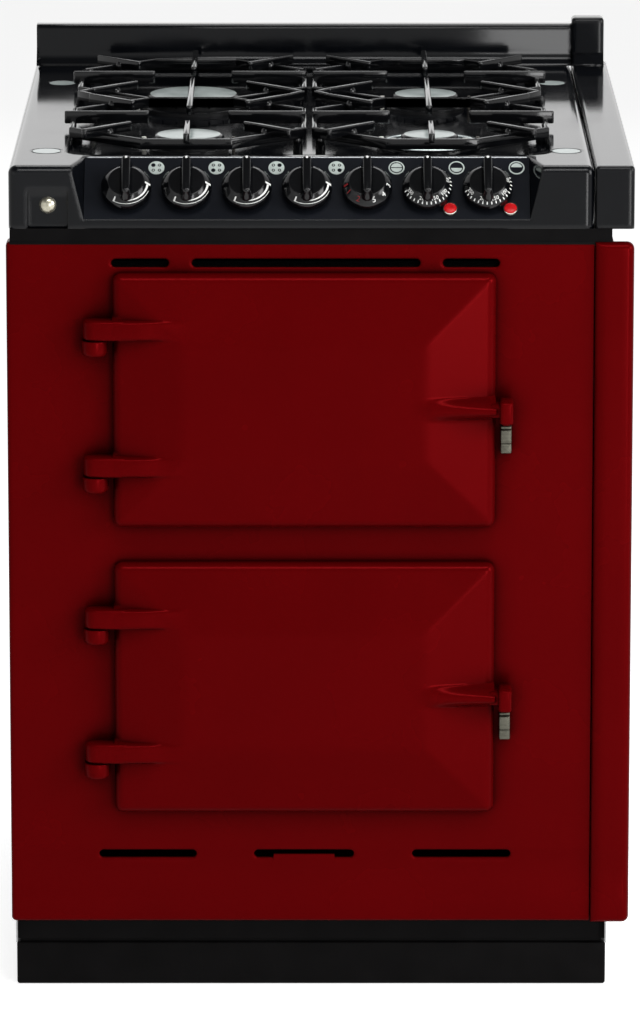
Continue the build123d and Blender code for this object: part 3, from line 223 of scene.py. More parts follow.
FINISHES = {
    "red_enamel": ("red", (0.22, 0.3), 0.25, 0.01, 9, 0.05, 160, 0.05, 0.0004),
    "black_enamel": ("black", (0.06, 0.12), 0.0, 0.2, 14, 0.3, 120, 0.03, 0.0004),
    "black_paint": ("soft_black", (0.36, 0.5), 0.0, 0.03, 30, 0.3, 700, 0.15, 0.0003),
    "charcoal_panel": ("charcoal", (0.3, 0.42), 0.0, 0.06, 24, 0.15, 900, 0.12, 0.0002),
    "cast_black": ("cast", (0.07, 0.13), 0.0, 0.35, 40, 0.35, 420, 0.06, 0.0003),
    "cap_grey": ("black", (0.1, 0.2), 0.0, 0.2, 30, 0.3, 300, 0.06, 0.0003),
    "knob_plastic": ("knob", (0.1, 0.18), 0.0, 0.3, 40, 0.2, 900, 0.08, 0.0002),
    "lamp_red": ("lamp", (0.2, 0.3), 0.0, 0.15, 200, 0.25, 900, 0.05, 0.0002),
    "zinc_sheet": ("zinc", (0.34, 0.44), 1.0, 0.5, 90, 0.09, 500, 0.08, 0.0003),
    "oven_enamel": ("oven", (0.16, 0.26), 0.0, 0.5, 420, 2.2, 260, 0.08, 0.0003),
    "chrome_wire": ("chrome", (0.1, 0.22), 1.0, 0.5, 60, 0.12, 500, 0.05, 0.0002),
    "element_steel": ("element", (0.4, 0.6), 0.6, 0.4, 50, 0.4, 800, 0.2, 0.0003),
    "burner_alloy": ("alloy", (0.26, 0.4), 0.5, 0.5, 60, 0.25, 900, 0.25, 0.0003),
    "brass": ("brass", (0.22, 0.38), 1.0, 0.5, 90, 0.2, 700, 0.1, 0.0002),
    "pipe_steel": ("steel", (0.26, 0.42), 1.0, 0.5, 80, 0.25, 700, 0.1, 0.0002),
    "catch_metal": ("catch", (0.28, 0.42), 0.85, 0.5, 120, 0.3, 900, 0.15, 0.0002),
    "wool": ("wool", (0.9, 1.0), 0.0, 0.0, 160, 0.45, 260, 0.9, 0.003),
    "seal_rope": ("rope", (0.8, 0.95), 0.0, 0.2, 240, 0.4, 500, 0.6, 0.001),
    "control_plastic": ("bakelite", (0.3, 0.42), 0.0, 0.4, 60, 0.3, 700, 0.15, 0.0003),
    "ceramic": ("ceramic", (0.3, 0.45), 0.0, 0.5, 120, 0.08, 900, 0.1, 0.0002),
    "white_print": ("white", (0.4, 0.55), 0.0, 0.3, 300, 0.06, 900, 0.05, 0.0001),
    "red_print": ("red_print", (0.4, 0.55), 0.0, 0.3, 300, 0.15, 900, 0.05, 0.0001),
    "disc_print": ("disc", (0.35, 0.5), 0.0, 0.3, 300, 0.08, 900, 0.05, 0.0001),
    "cap_top": ("pale_cap", (0.16, 0.26), 0.0, 0.4, 50, 0.08, 700, 0.05, 0.0002),
    "bolt": ("bolt", (0.2, 0.34), 0.9, 0.5, 200, 0.2, 900, 0.1, 0.0002),
    "collar": ("collar", (0.1, 0.18), 0.9, 0.5, 60, 0.15, 700, 0.05, 0.0002),
    # Painted highlight: the bright bead along the panel's top edge stands in for the highlight on its rolled enamel
    # edge
    "bright_edge": ("edge", (0.14, 0.24), 0.9, 0.5, 60, 0.2, 900, 0.05, 0.0002),
    "bezel": ("bezel", (0.12, 0.22), 0.9, 0.5, 200, 0.1, 900, 0.05, 0.0002),
}

# Textures other than plain noise, and those that are stretched along X, Y or Z
KINDS = {"zinc_sheet": "VORONOI", "oven_enamel": "SPECKLE", "seal_rope": "WAVE"}
STRETCHES = {"chrome_wire": (6, 0.6, 6), "brass": (1, 1, 8), "catch_metal": (1, 1, 4), "wool": (1, 1, 5),
             "bright_edge": (0.2, 1, 1)}
# The part of a texture's value that takes the colour from one end to the other
TEXTURE_SPAN, SPECKLE_SPAN = (0.25, 0.75), (0.12, 0.2)
# Over what width pressed edges look rounded, in metres
SOFT_EDGES = {"black_enamel": 0.006}
# Painted shade: the enamel's colour is darkened where ambient occlusion finds folds, seams and corners: over what
# distance, in metres, how dark, and from how closed to how open a place
PAINTED_FOLD_SHADE = {"red_enamel": 0.025}
FOLD_SHADE_TONE, FOLD_SHADE_SPAN = 0.3, (0.5, 0.95)
EDGE_SAMPLES = 8
LAMP_GLOW = 0.15


def fill(node, **inputs):
    """Sets a node's inputs, or links them to outputs. An underscore stands for a space in a socket's name."""
    for name, value in inputs.items():
        socket = node.inputs[name.replace("_", " ")]
        if isinstance(value, bpy.types.NodeSocket):
            node.id_data.links.new(value, socket)
        else:
            socket.default_value = value
    return node


def add(tree, kind, **inputs):
    """A new shader node of this kind with these inputs."""
    return fill(tree.nodes.new("ShaderNode" + kind), **inputs)


def texture(tree, kind, scale, vector):
    """The output of a texture of this kind that carries its value from 0 to 1."""
    if kind == "NOISE":
        return add(tree, "TexNoise", Vector=vector, Scale=scale, Detail=4.0).outputs["Fac"]
    if kind == "WAVE":
        node = add(tree, "TexWave", Vector=vector, Scale=scale, Distortion=1.5)
        node.bands_direction = "DIAGONAL"
        return node.outputs["Fac"]
    node = add(tree, "TexVoronoi", Vector=vector, Scale=scale)
    return node.outputs["Color" if kind == "VORONOI" else "Distance"]


def between(tree, value, low, high, start=TEXTURE_SPAN[0], stop=TEXTURE_SPAN[1]):
    """A value mapped from start..stop on to low..high and held there."""
    node = add(tree, "MapRange", Value=value, From_Min=start, From_Max=stop, To_Min=low, To_Max=high)
    return node.outputs["Result"]


def blended(tree, value, first, second):
    """A colour between two, each a tint or an output, by a value from 0 to 1."""
    node = add(tree, "Mix")
    node.data_type = "RGBA"
    tree.links.new(value, node.inputs[0])
    for socket, colour in zip(node.inputs[6:8], (first, second)):
        if isinstance(colour, bpy.types.NodeSocket):
            tree.links.new(colour, socket)
        else:
            socket.default_value = (*colour, 1)
    return node.outputs[2]


def material(name):
    """The named finish, made the first time it is asked for."""
    known = bpy.data.materials.get("finish_" + name)
    if known:
        return known
    tint, rough, metal, level, scale, vary, relief, strength, deep = FINISHES[name]
    made = bpy.data.materials.new("finish_" + name)
    made.use_nodes = True
    tree = made.node_tree
    place = add(tree, "TexCoord").outputs["Object"]
    place = add(tree, "Mapping", Vector=place, Scale=STRETCHES.get(name, (1, 1, 1))).outputs["Vector"]
    kind = KINDS.get(name, "NOISE")
    value = texture(tree, kind, scale, place)
    colour = np.array(getattr(bpy.context.scene.cooker_colours, tint))
    low, high, span = colour * (1 - vary), colour * (1 + vary), TEXTURE_SPAN
    if kind == "SPECKLE":
        low, high, span = high, colour, SPECKLE_SPAN
    mixed = blended(tree, between(tree, value, 0, 1, *span), np.minimum(low, 1), np.minimum(high, 1))
    # Painted shade: the base colour darkens towards a share of itself where ambient occlusion finds the surface
    # closed in
    if name in PAINTED_FOLD_SHADE:
        near = add(tree, "AmbientOcclusion", Distance=PAINTED_FOLD_SHADE[name])
        near.samples = EDGE_SAMPLES
        mixed = blended(tree, between(tree, near.outputs["AO"], 0, 1, *FOLD_SHADE_SPAN), colour * FOLD_SHADE_TONE, mixed)
    bump = add(tree, "Bump", Strength=strength, Distance=deep, Height=texture(tree, "NOISE", relief, place))
    if name in SOFT_EDGES:
        edge = add(tree, "Bevel", Radius=SOFT_EDGES[name])
        edge.samples = EDGE_SAMPLES
        fill(bump, Normal=edge.outputs["Normal"])
    shader = fill(tree.nodes["Principled BSDF"], Base_Color=mixed, Roughness=between(tree, value, *rough),
                  Metallic=metal, Specular_IOR_Level=level, Normal=bump.outputs["Normal"])
    if name == "lamp_red":
        fill(shader, Emission_Color=(*colour, 1), Emission_Strength=LAMP_GLOW)
    return made


# Doors


# Steps of a door's grid across and up
DOOR_STEPS = 1.6, 1.4
# How much the facets, the crown and the arms of a door are rounded where they meet
FACET_SOFT, CROWN_SOFT, ARM_SOFT = 0.8, 1.2, 3.5
# Height of an arm's foot over the rim plane, and how far its back rises over the crown within a run
ARM_FOOT, ARM_LIFT, ARM_LIFT_RUN = 2, 0.5, 10
# Half the height of the lug's rib, and the length over which it grows
LUG_HALF, LUG_GROWTH = 12.0, 18


def soft_min(a, b, k):
    """The lesser of two fields, rounded where they cross: min(a, b) - max(k - |a - b|, 0)^2 / 4k."""
    return np.minimum(a, b) - np.maximum(k - np.abs(a - b), 0) ** 2 / (4 * k)


def soft_max(a, b, k):
    """The greater of two fields, rounded where they cross."""
    return -soft_min(-a, -b, k)


def crowded(low, high, fine, step):
    """Grid lines an even step apart, closer within fine of both ends."""
    edge = fine * np.array((0, 0.03, 0.1, 0.2, 0.34, 0.52, 0.75))
    inner = np.linspace(low + fine, high - fine, int((high - low - 2 * fine) / step) + 2)
    return np.concatenate([low + edge, inner, high - edge[::-1]])


def ridge(across, half, power):
    """A ridge section: 1 in the middle, 0 at half away, falling steeply outside."""
    u = np.abs(across) / half
    return np.where(u < 1, np.maximum(1 - u ** power, 0) ** (1 / power), (1 - u) * 3)


def edge_distances(x, z, box):
    """How far a point lies from the nearer side and from the nearer end of a box."""
    left, right, low, high = box
    return np.minimum(x - left, right - x), np.minimum(z - low, high - z)


def rolled(x, z, box, turn, side=0):
    """A grid drawn into the box's rounded corners, and how far its rim falls back along a quarter circle.

    In a corner the square (a, b) becomes the disc (a sqrt(1 - b^2/2), b sqrt(1 - a^2/2)). With a side of -1 or 1 only
    the corners on the left or on the right are round, and the others are mitred.
    """
    ex, ez = edge_distances(x, z, box)
    a, b = np.clip(1 - ex / turn, 0, 1), np.clip(1 - ez / turn, 0, 1)
    ax, bz = a * np.sqrt(1 - b * b / 2), b * np.sqrt(1 - a * a / 2)
    corner = (a > 0) & (b > 0) & (side * (2 * x - box[0] - box[1]) >= 0)
    x = np.where(corner, x + np.sign(x - box[0] - 2 * turn) * turn * (ax - a), x)
    z = np.where(corner, z + np.sign(z - box[2] - 2 * turn) * turn * (bz - b), z)
    edge = np.where(corner, turn * (1 - np.hypot(ax, bz)), np.minimum(*edge_distances(x, z, box)))
    return x, z, turn - np.sqrt(np.maximum(turn ** 2 - np.maximum(turn - edge, 0) ** 2, 0))


def around(grid):
    """The points round the border of a grid, in order."""
    return np.concatenate([grid[:-1, 0], grid[-1, :-1], grid[:0:-1, -1], grid[0, :0:-1]])


def door_field(x, z, box, arms, lug):
    """p(x, z), how far the door's face stands out of its rim plane, and the x and z of each grid point.

    Four facets rise at the same slope from the rim to a flat crown: p = min(s ex, s ez, crown), softened.
    The rim turns back along a quarter circle. The two arms are ridges laid over it with soft_max, and the lug is a
    rib of section (1 - |u|^2.4)^1.6 that grows out of the crown towards the right.
    """
    crown = size("door_crown")
    x, z, fall = rolled(x, z, box, size("door_edge"))
    ex, ez = edge_distances(x, z, box)
    slope = crown / size("door_facet")
    p = soft_min(soft_min(slope * ex, slope * ez, FACET_SOFT), crown, CROWN_SOFT) - fall
    left = box[0]
    for arm_z, half, end in arms:
        lift = ARM_LIFT * np.clip((x - left) / ARM_LIFT_RUN, 0, 1)
        rise = ARM_FOOT + (crown - ARM_FOOT + lift) * ridge(z - arm_z, half, 5)
        fade = np.clip((end - x) / size("arm_fade"), 0, 1)
        p = p + (soft_max(p, rise, ARM_SOFT) - p) * fade * fade * (3 - 2 * fade)
    lug_z, root, rate = lug
    over = np.maximum(crown + (x - root) * rate - p, 0) * np.clip((x - root) / LUG_GROWTH, 0, 1)
    p = p + over * np.maximum(1 - np.abs((z - lug_z) / LUG_HALF) ** 2.4, 0) ** 1.6
    return p, x, z


def door_patches(name):
    """The face, wall and back of one door, its arms out to the hinge and the end of its lug."""
    low, high = corners(name)
    liner_low, liner_high = corners(name + "_liner")
    inset = size("liner_inset")
    left, right = liner_low[0] - inset, liner_high[0] + inset
    box = left, right, low[2], high[2]
    knuckle, rim, back = size("knuckle"), size("door_rim"), size("door_gap")
    arm_h = size("arm_height")
    arm_lows = [low[2] + size("low_arm"), low[2] + size("high_arm")]
    arms = [(z + arm_h / 2, arm_h / 2, left + size("arm_run")) for z in arm_lows]
    lug_z, root = low[2] + size("lug_rise"), right - size("lug_run")
    tip, neck = high[0], high[0] - size("lug_flange")
    out = FRONT_Y - low[1]
    rate = (out - 3 - rim - size("door_crown")) / (neck - root)
    lines = [crowded(*ends, size("door_edge"), step) for ends, step in zip((box[:2], box[2:]), DOOR_STEPS)]
    p, x, z = door_field(*np.meshgrid(*lines, indexing="ij"), box, arms, (lug_z, root, rate))
    face = np.stack([x, FRONT_Y - rim - p, z], -1)
    loop = around(face)
    behind = loop.copy()
    behind[:, 1] = FRONT_Y - back
    patches = [(face[::-1], *SHEET), (np.stack([behind, loop]), True, True, False)]
    hinge = low[0] + knuckle
    for z0 in arm_lows:
        ends = (hinge, -rim), (left + 8, -rim)
        patches.append(pillow(ends, knuckle, z0, z0 + arm_h, 3.2, standing(), 16))
    web = (right - 3, -out + 11), (neck + 4, -out + 7), (neck + 4, -10), (right - 3, -10)
    patches.append(pillow(web, 3.4, lug_z - 7, lug_z + 7, 3.4, standing(), 5))
    flange = (neck + 1, -out + 4), (tip - 4, -out + 4), (tip - 4, -11), (neck + 1, -11)
    patches.append(pillow(flange, 4, lug_z - 12.5, lug_z + 10, 2.6, standing(), 6))
    striker = standing(tip - 6.5, -11)
    patches.append(slab(7, 7, 1.5, lug_z - 18.5, lug_z - 10, 0.8, striker, 4))
    return patches


def weld(obj):
    """Joins the points of a mesh that lie on each other."""
    count = len(obj.data.vertices)
    points = np.empty(count * 3)
    obj.data.vertices.foreach_get("co", points)
    keys = np.round(points.reshape(-1, 3) / WELD).astype(np.int64)
    _, first, same = np.unique(keys, axis=0, return_index=True, return_inverse=True)
    if len(first) == count:
        return
    order = np.argsort(first)
    rank = np.empty_like(order)
    rank[order] = np.arange(len(order))
    table = rank[same.ravel()]
    faces = [list(dict.fromkeys(table[list(f.vertices)].tolist())) for f in obj.data.polygons]
    finish = obj.data.materials[0]
    obj.data.clear_geometry()
    obj.data.from_pydata(points.reshape(-1, 3)[first[order]], [], [f for f in faces if len(f) > 2])
    obj.data.materials.clear()
    obj.data.materials.append(finish)
    smooth(obj.data)


# Red front


TOP_SLOTS = (-208.0, -150.5), (-127.6, 100.0), (122.5, 179.0)
LOW_SLOTS = (-223.5, -125.0), (-66.6, 34.4), (93.5, 193.0)
SLOT_RADIUS = 4.3
# The slot with a tongue, how far this lies inside its ends, and half the width of the step there
TONGUE_SLOT, TONGUE_INSET, TONGUE_STEP = LOW_SLOTS[1], 19.5, 0.3
# How far the ring round a hole reaches, the step of the grid beside it, and how close two grid lines may lie
HOLE_MARGIN, FRONT_STEP, LINE_GAP = 6.0, 7.0, 1.2
# Where the grid of the filler follows its roll, in shares of the roll's width
LEAN_STOPS = 0.6, 0.78, 1.0


def front_holes():
    """Left, right, foot, top and corner radius of the six slots and the two oven mouths in the red front."""
    low, high = corners("front_panel")
    rows = (high[2] - size("top_slot_drop"), TOP_SLOTS), (low[2] + size("low_slot_rise"), LOW_SLOTS)
    holes = [(x0, x1, z - SLOT_RADIUS, z + SLOT_RADIUS, SLOT_RADIUS) for z, row in rows for x0, x1 in row]
    gap = size("mouth_gap")
    for door in DOORS:
        low, high = corners(door + "_liner")
        holes.append((low[0] - gap, high[0] + gap, low[2] - gap, high[2] + gap, size("mouth_corner")))
    return holes


def front_point(x, z, depth, floor):
    """A point of the front, where it lies back by depth: it sinks in a hollow near its foot and stands out below it.

    With u from 0 at the crease to 1 at the foot band, p = foot u^2 (3 - 2 u) - hollow sin(pi u).
    """
    crease, band = size("front_crease"), size("foot_band")
    u = np.clip((crease - (z - floor)) / (crease - band), 0, 1)
    out = size("foot_out") * u * u * (3 - 2 * u) - size("foot_hollow") * np.sin(PI * u)
    return np.stack([x, FRONT_Y + depth - out, z], -1)


def hole_ring(loop, hole, floor, tongue):
    """Rings from the border of the grid to the rounded outline of a hole, through the sheet and out behind it."""
    x0, x1, z0, z1, radius = hole
    flat = loop[:, (0, 2)]
    centre = np.clip(flat, (x0 + radius, z0 + radius), (x1 - radius, z1 - radius))
    way = flat - centre
    way /= np.linalg.norm(way, axis=1, keepdims=True)
    t = np.linspace(0, PI / 2, 5)
    soft, sink, thick = size("hole_edge"), size("hole_sink"), size("front_sheet")
    sections = np.r_[radius + soft * (1 - np.sin(t)), radius], np.r_[sink * (1 - np.cos(t)), thick]
    made = [loop]
    for reach, depth in zip(*sections):
        x, z = (centre + reach * way).T
        if tongue:
            inside = np.abs(x - (x0 + x1) / 2) < (x1 - x0) / 2 - TONGUE_INSET
            z = np.where(inside & (z < z0 + radius), z0 + radius - size("tongue_drop"), z)
        made.append(front_point(x, z, depth, floor))
    return np.stack(made + [loop + (0, thick, 0)]), *TUBE


def front_patches(box, turn, side, proud=0.0, holes=()):
    """A pressed sheet with a rolled edge: front, back, the wall between them and a ring round every hole.

    The corners on one side are round. On the right of a sheet whose left side is round, the edge stays flat. On the
    left of a sheet whose right side is round, it falls off along a quarter ellipse, wider than it is deep.
    """
    left, right, low, high = box
    thick = size("front_sheet")
    stops = [[], [low + size("front_crease"), low + size("foot_band")]]
    for x0, x1, z0, z1, radius in holes:
        for line, start, end in ((stops[0], x0, x1), (stops[1], z0, z1)):
            steps = np.array((-HOLE_MARGIN, -HOLE_MARGIN / 2, 0, radius / 2, radius))
            line += [*(start + steps), *(end - steps)]
    if holes:
        ends = TONGUE_SLOT[0] + TONGUE_INSET, TONGUE_SLOT[1] - TONGUE_INSET
        stops[0] += [end + step for end in ends for step in (-TONGUE_STEP, TONGUE_STEP)]
    lean = size("filler_lean")
    if side > 0:
        stops[0] += [left + lean * share for share in LEAN_STOPS]
    lines = []
    for start, end, line in ((left, right, stops[0]), (low, high, stops[1])):
        base = crowded(start, end, turn, FRONT_STEP)
        line = np.unique(np.round(line, 3))
        clear = np.abs(base[:, None] - line).min(1) > LINE_GAP
        lines.append(np.sort(np.r_[base[clear], line]))
    rim = left - (turn if side > 0 else 0), right + (turn if side < 0 else 0), low, high
    x, z, fall = rolled(*np.meshgrid(*lines, indexing="ij"), rim, turn, side)
    if side > 0:
        fall = np.maximum(fall, turn - turn * np.sqrt(1 - np.clip(1 - (x - left) / lean, 0, 1) ** 2))
    face = front_point(x, z, fall - proud, low)
    back = face + (0, thick, 0)
    blocks = [[int(np.argmin(np.abs(lines[i // 2] - v))) for i, v in enumerate(
        (x0 - HOLE_MARGIN, x1 + HOLE_MARGIN, z0 - HOLE_MARGIN, z1 + HOLE_MARGIN))] for x0, x1, z0, z1, _ in holes]
    patches = [(np.stack([around(back), around(face)]), *TUBE)]
    cuts = sorted({0, len(lines[1]) - 1, *(k for block in blocks for k in block[2:])})
    for k0, k1 in zip(cuts, cuts[1:]):
        across = sorted(block[:2] for block in blocks if block[2] <= k0 and block[3] >= k1)
        ends = [0, *(i for pair in across for i in pair), len(lines[0]) - 1]
        for i0, i1 in zip(ends[::2], ends[1::2]):
            part = np.s_[i0:i1 + 1, k0:k1 + 1]
            patches += [(face[part][::-1], *SHEET), (back[part], *SHEET)]
    for hole, (i0, i1, k0, k1) in zip(holes, blocks):
        loop = around(face[i0:i1 + 1, k0:k1 + 1])
        patches.append(hole_ring(loop, hole, low, hole[:2] == TONGUE_SLOT))
    return patches


class COOKER_OT_front(bpy.types.Operator):
    """Make the red front with its slots and oven mouths, and the red filler strip beside it"""

    bl_idname = "cooker.front"
    bl_label = "Red Front"

    def execute(self, context):
        turn, thick, lap = size("panel_edge"), size("front_sheet"), size("front_return")
        low, high = corners("front_panel")
        patches = front_patches((low[0], high[0], low[2], high[2]), turn, -1, holes=front_holes())
        wide, tall = high[0] - low[0] - 0.2, high[2] - low[2] - 0.2
        middle = facing((low[0] + high[0]) / 2, 0, (low[2] + high[2]) / 2)
        radii = np.array((0, -thick, -thick, 0, 0)) + turn
        depths = -np.array((turn, turn, lap, lap, turn))
        patches.append((rings(oblong(wide, tall, turn), radii, depths, middle, 8), *TUBE))
        weld(build("red_front", patches, "red_enamel", replaces=["front_panel"]))
        low, high = corners("front_filler_strip")
        proud, turn = size("filler_proud"), size("filler_edge")
        patches = front_patches((low[0], high[0], low[2], high[2]), turn, 1, proud)
        start, inset = turn - proud, 0.1
        for x, end in ((high[0] - thick / 2 - inset, lap), (low[0] + thick / 2 + inset, thick)):
            side = standing(x, (start + end) / 2)
            patches.append(slab(thick, end - start, 1, low[2] + turn, high[2] - turn, 0.5, side))
        deep, web = high[1] - low[1], size("filler_web")
        back = standing(corners("right_side_panel")[1][0] + web / 2, (thick + deep) / 2)
        patches.append(slab(web, deep - thick, 1, low[2] + thick, high[2] - thick, 0.5, back))
        weld(build("red_filler", patches, "red_enamel", replaces=["front_filler_strip"]))
        # Partly painted shade: a black strip under the top gives the dark shadow line over the red front, and covers
        # the ends of the side panels
        low, high = corners("top_frame")
        tall, deep = size("shade_gasket_height"), size("shade_gasket_depth")
        place = standing((low[0] + high[0]) / 2, size("shade_gasket_back") + deep / 2)
        strip = slab(high[0] - low[0] + 0.4, deep, 1, low[2] - tall, low[2] + 0.1, 0.4, place)
        build("top_gasket", [strip], "black_paint")
        return {"FINISHED"}


class COOKER_OT_doors(bpy.types.Operator):
    """Make the two oven doors: bevelled casting, hinge arms and lug"""

    bl_idname = "cooker.doors"
    bl_label = "Oven Doors"

    def execute(self, context):
        for name in DOORS:
            weld(build(name + "_casting", door_patches(name), "red_enamel", name + "_leaf", [name]))
        return {"FINISHED"}


class COOKER_OT_brackets(bpy.types.Operator):
    """Make the four half-round hinge brackets with their washers and pins"""

    bl_idname = "cooker.brackets"
    bl_label = "Hinge Brackets"

    def execute(self, context):
        patches = []
        radius, high = size("bracket"), size("bracket_height")
        for door in DOORS:
            low = corners(door)[0]
            hinge, rim = low[0] + size("knuckle"), size("door_rim")
            for rise in ("low_arm", "high_arm"):
                arm = low[2] + size(rise)
                top = arm - 0.8
                ends = (hinge, -rim), (hinge, -rim + radius)
                grid, *flags = pillow(ends, radius, top - high, top, (5, 1.2), standing(), 14)
                grid[..., 1] = np.minimum(grid[..., 1], FRONT_Y - 0.02)
                patches.append((grid, *flags))
                patches.append(lathe(((7.6, top - 1), (7.6, arm - 0.35), (7, arm - 0.2)), standing(hinge, -rim), 32))
                patches.append(lathe(((4.5, top), (4.5, arm + 14), (3.6, arm + 15)), standing(hinge, -rim), 24))
        build("hinge_bracket_castings", patches, "red_enamel", replaces=["hinge_brackets"])
        return {"FINISHED"}


# Rise, height and how far back of the three steps of a catch
CATCH_STEPS = (0, 10.5, 0.8), (10.2, 14.3, 0), (24.2, 3.8, 2)


class COOKER_OT_catches(bpy.types.Operator):
    """Make the two metal door catches"""

    bl_idname = "cooker.catches"
    bl_label = "Door Catches"

    def execute(self, context):
        patches = []
        low, high = corners("door_catches")
        tall = size("catch_height")
        middle, wide, out = (low[0] + high[0]) / 2, high[0] - low[0] - 5, FRONT_Y - low[1]
        for top in (high[2], low[2] + tall):
            for rise, part, back in CATCH_STEPS:
                place = facing(middle, 0, top - tall + 2.5 + rise + part / 2)
                patches.append(slab(wide, part, 1.5, 0, out - back, (0, 1.4), place, 5))
        build("catch_blocks", patches, "catch_metal", replaces=["door_catches"])
        return {"FINISHED"}


# Control panel


# The bevel and the whole outline of a dial, (radius, height), and the ends of its wing bar up and down the panel
BEVEL = (24.6, 13.0), (18.2, 19.4)
DIAL = (19, 4), (24.4, 4), (25, 4.6), (25, 12.2), *BEVEL, (17.6, 19.9), (16.9, 20), (14, 19.9), (8, 19.7)
WING = (0, -16.4), (0, 19.4)
# The dot on the wing bar and how far up it lies
DOT, DOT_RISE = ((1.4, 31.0), (1.4, 31.95), (0.9, 32.2)), 20.6
# Stripes on a gas dial: first and last angle, where the two edges lie at each, and how many points
GAS_STRIPES = (
    (-6, -86, (0.38, 0.47), (0.66, 0.53), 24), (-20, -120, (0.12, 0.12), (0.18, 0.18), 24),
    (1, -5, (0.1, 0.1), (0.9, 0.9), 6), (-119, -123, (0.12, 0.12), (0.7, 0.7), 6))
# Numbers and the angles at which they stand
GRILL_LOW, GRILL_HIGH = (("1", -150), ("2", -115)), (("3", -8), ("4", -40), ("5", -72))
OVEN_HEAT = ("50", 7), ("100", -37), ("150", -70), ("200", -103), ("250", -147)


def knob_patches(place):
    """A dial turned on the lathe, with a wing bar that narrows upwards and is round at both ends."""
    t = np.linspace(0, PI / 2, 6)
    radii = np.r_[6.4, 6.1, 5.0, 4.3 - 2.6 * (1 - np.cos(t))]
    heights = np.r_[17.5, 20.5, 24, 32 - 2.6 * (1 - np.sin(t))]
    return [lathe(DIAL, place, 96), (rings(WING, radii, heights, place, 14), *CLOSED)]


def bevel(angle, along, place, lift):
    """A point of the dial's bevel: angle round it, along from 0 at the skirt to 1 at the face."""
    (low_r, low_h), (high_r, high_h) = BEVEL
    radius = low_r + (high_r - low_r) * along + lift
    height = low_h + (high_h - low_h) * along + lift
    flat = np.stack([radius * np.cos(angle), radius * np.sin(angle), height], -1)
    return place[0] + flat @ place[1:]


def stripe(start, end, low, high, place, steps):
    """A thin printed stripe on the bevel between two angles; low and high give its edges at both ends."""
    t = np.linspace(0, 1, steps)
    angle = np.radians(start + (end - start) * t)
    inner, outer = (edge[0] + (edge[1] - edge[0]) * t for edge in (low, high))
    section = [bevel(angle, along, place, lift)
               for along, lift in ((inner, -0.1), (outer, -0.1), (outer, 0.12), (inner, 0.12))]
    return np.stack(section, axis=1), *CLOSED


def lettering(text, height, place):
    """The points and faces of a short raised text on a place's first two axes."""
    curve = bpy.data.curves.new("lettering", "FONT")
    curve.body = text
    curve.size = height
    curve.extrude = 0.12
    curve.align_x, curve.align_y = "CENTER", "CENTER"
    curve.resolution_u = 3
    holder = bpy.data.objects.new("lettering", curve)
    flat = holder.to_mesh()
    points = np.empty(len(flat.vertices) * 3)
    flat.vertices.foreach_get("co", points)
    faces = [tuple(f.vertices) for f in flat.polygons]
    holder.to_mesh_clear()
    bpy.data.objects.remove(holder)
    bpy.data.curves.remove(curve)
    return place[0] + points.reshape(-1, 3) @ place[1:], faces


def bevel_place(angle, along, place):
    """A place on the bevel whose second axis points up the bevel, for upright lettering read from below."""
    a = np.radians(angle)
    origin = bevel(np.array([a]), np.array([along]), place, 0.1)[0]
    out = np.array((np.cos(a), np.sin(a), 0))
    round_ = np.array((-np.sin(a), np.cos(a), 0))
    up = SLOPE * np.array((-out[0], -out[1], 1.0))
    normal = np.cross(round_, up)
    side = np.cross(up, normal)
    return np.array([origin, side @ place[1:], up @ place[1:], normal @ place[1:]])


def numbers(rows, height, along, place):
    """The lettering of rows of text and angle on the bevel."""
    return [lettering(text, height, bevel_place(angle, along, place)) for text, angle in rows]


def print_on(name, patches, letters, finish, body):
    """A printed mark: stripes and lettering joined in one mesh."""
    obj = build(name, patches, finish, body)
    points = [np.array([v.co for v in obj.data.vertices])]
    faces = [list(f.vertices) for f in obj.data.polygons]
    count = len(points[0])
    for flat, polygons in letters:
        points.append(flat * MM)
        faces += [[count + i for i in f] for f in polygons]
        count += len(flat)
    obj.data.clear_geometry()
    obj.data.from_pydata(np.concatenate(points), [], faces)
    weld(obj)
    return obj


class COOKER_OT_knobs(bpy.types.Operator):
    """Make the seven knobs with their printed marks"""

    bl_idname = "cooker.knobs"
    bl_label = "Knobs"

    def execute(self, context):
        for name in GAS + ELECTRIC:
            low, high = corners(name + "_knob")
            place = on_panel((low[0] + high[0]) / 2, size("knob_lift"))
            body = name + "_dial"
            build(name + "_dial_knob", knob_patches(place), "knob_plastic", body, [name + "_knob"])
            dot = place.copy()
            dot[0] = dot[0] + DOT_RISE * dot[2]
            spots, letters = [lathe(DOT, dot, 20)], []
            if name in GAS:
                spots += [stripe(*how, place, steps) for *how, steps in GAS_STRIPES]
            elif name == "grill":
                letters = numbers(GRILL_HIGH, 8.0, 0.5, place)
                dash = stripe(-170, -176, (0.2, 0.2), (0.8, 0.8), place, 4)
                print_on(name + "_red_marks", [dash], numbers(GRILL_LOW, 8.0, 0.5, place), "red_print", body)
            else:
                spots += [stripe(angle + 1.3, angle - 1.3, (0.06, 0.06), (0.36, 0.36), place, 3)
                          for angle in range(18, -160, -11)]
                letters = numbers(OVEN_HEAT, 5.4, 0.66, place)
            print_on(name + "_marks", spots, letters, "white_print", body)
        return {"FINISHED"}


def half_disc(radius, sign, place, lift):
    """Half of a thin disc with a straight side just off the middle, closed all round."""
    angle = np.linspace(0, PI, 24) * sign
    edge = np.stack([radius * np.cos(angle), radius * np.sin(angle) * 0.9 + 0.5 * sign], -1)
    low, high = (np.c_[edge, np.full(24, h)] for h in (lift - 0.2, lift))
    return place[0] + np.stack([low, high]) @ place[1:], *CLOSED


# Turned outlines of a symbol's disc and a lamp's rim
DISC = (8, 0.02), (8, 0.25), (7.7, 0.4)
LAMP_RIM = (5.4, -10), (5.4, 0.02), (7.5, 0.02), (7.5, 3.0), (7.1, 3.7), (6.6, 3.8), (6.2, 3.0)
LAMP_RADIUS = 7.5


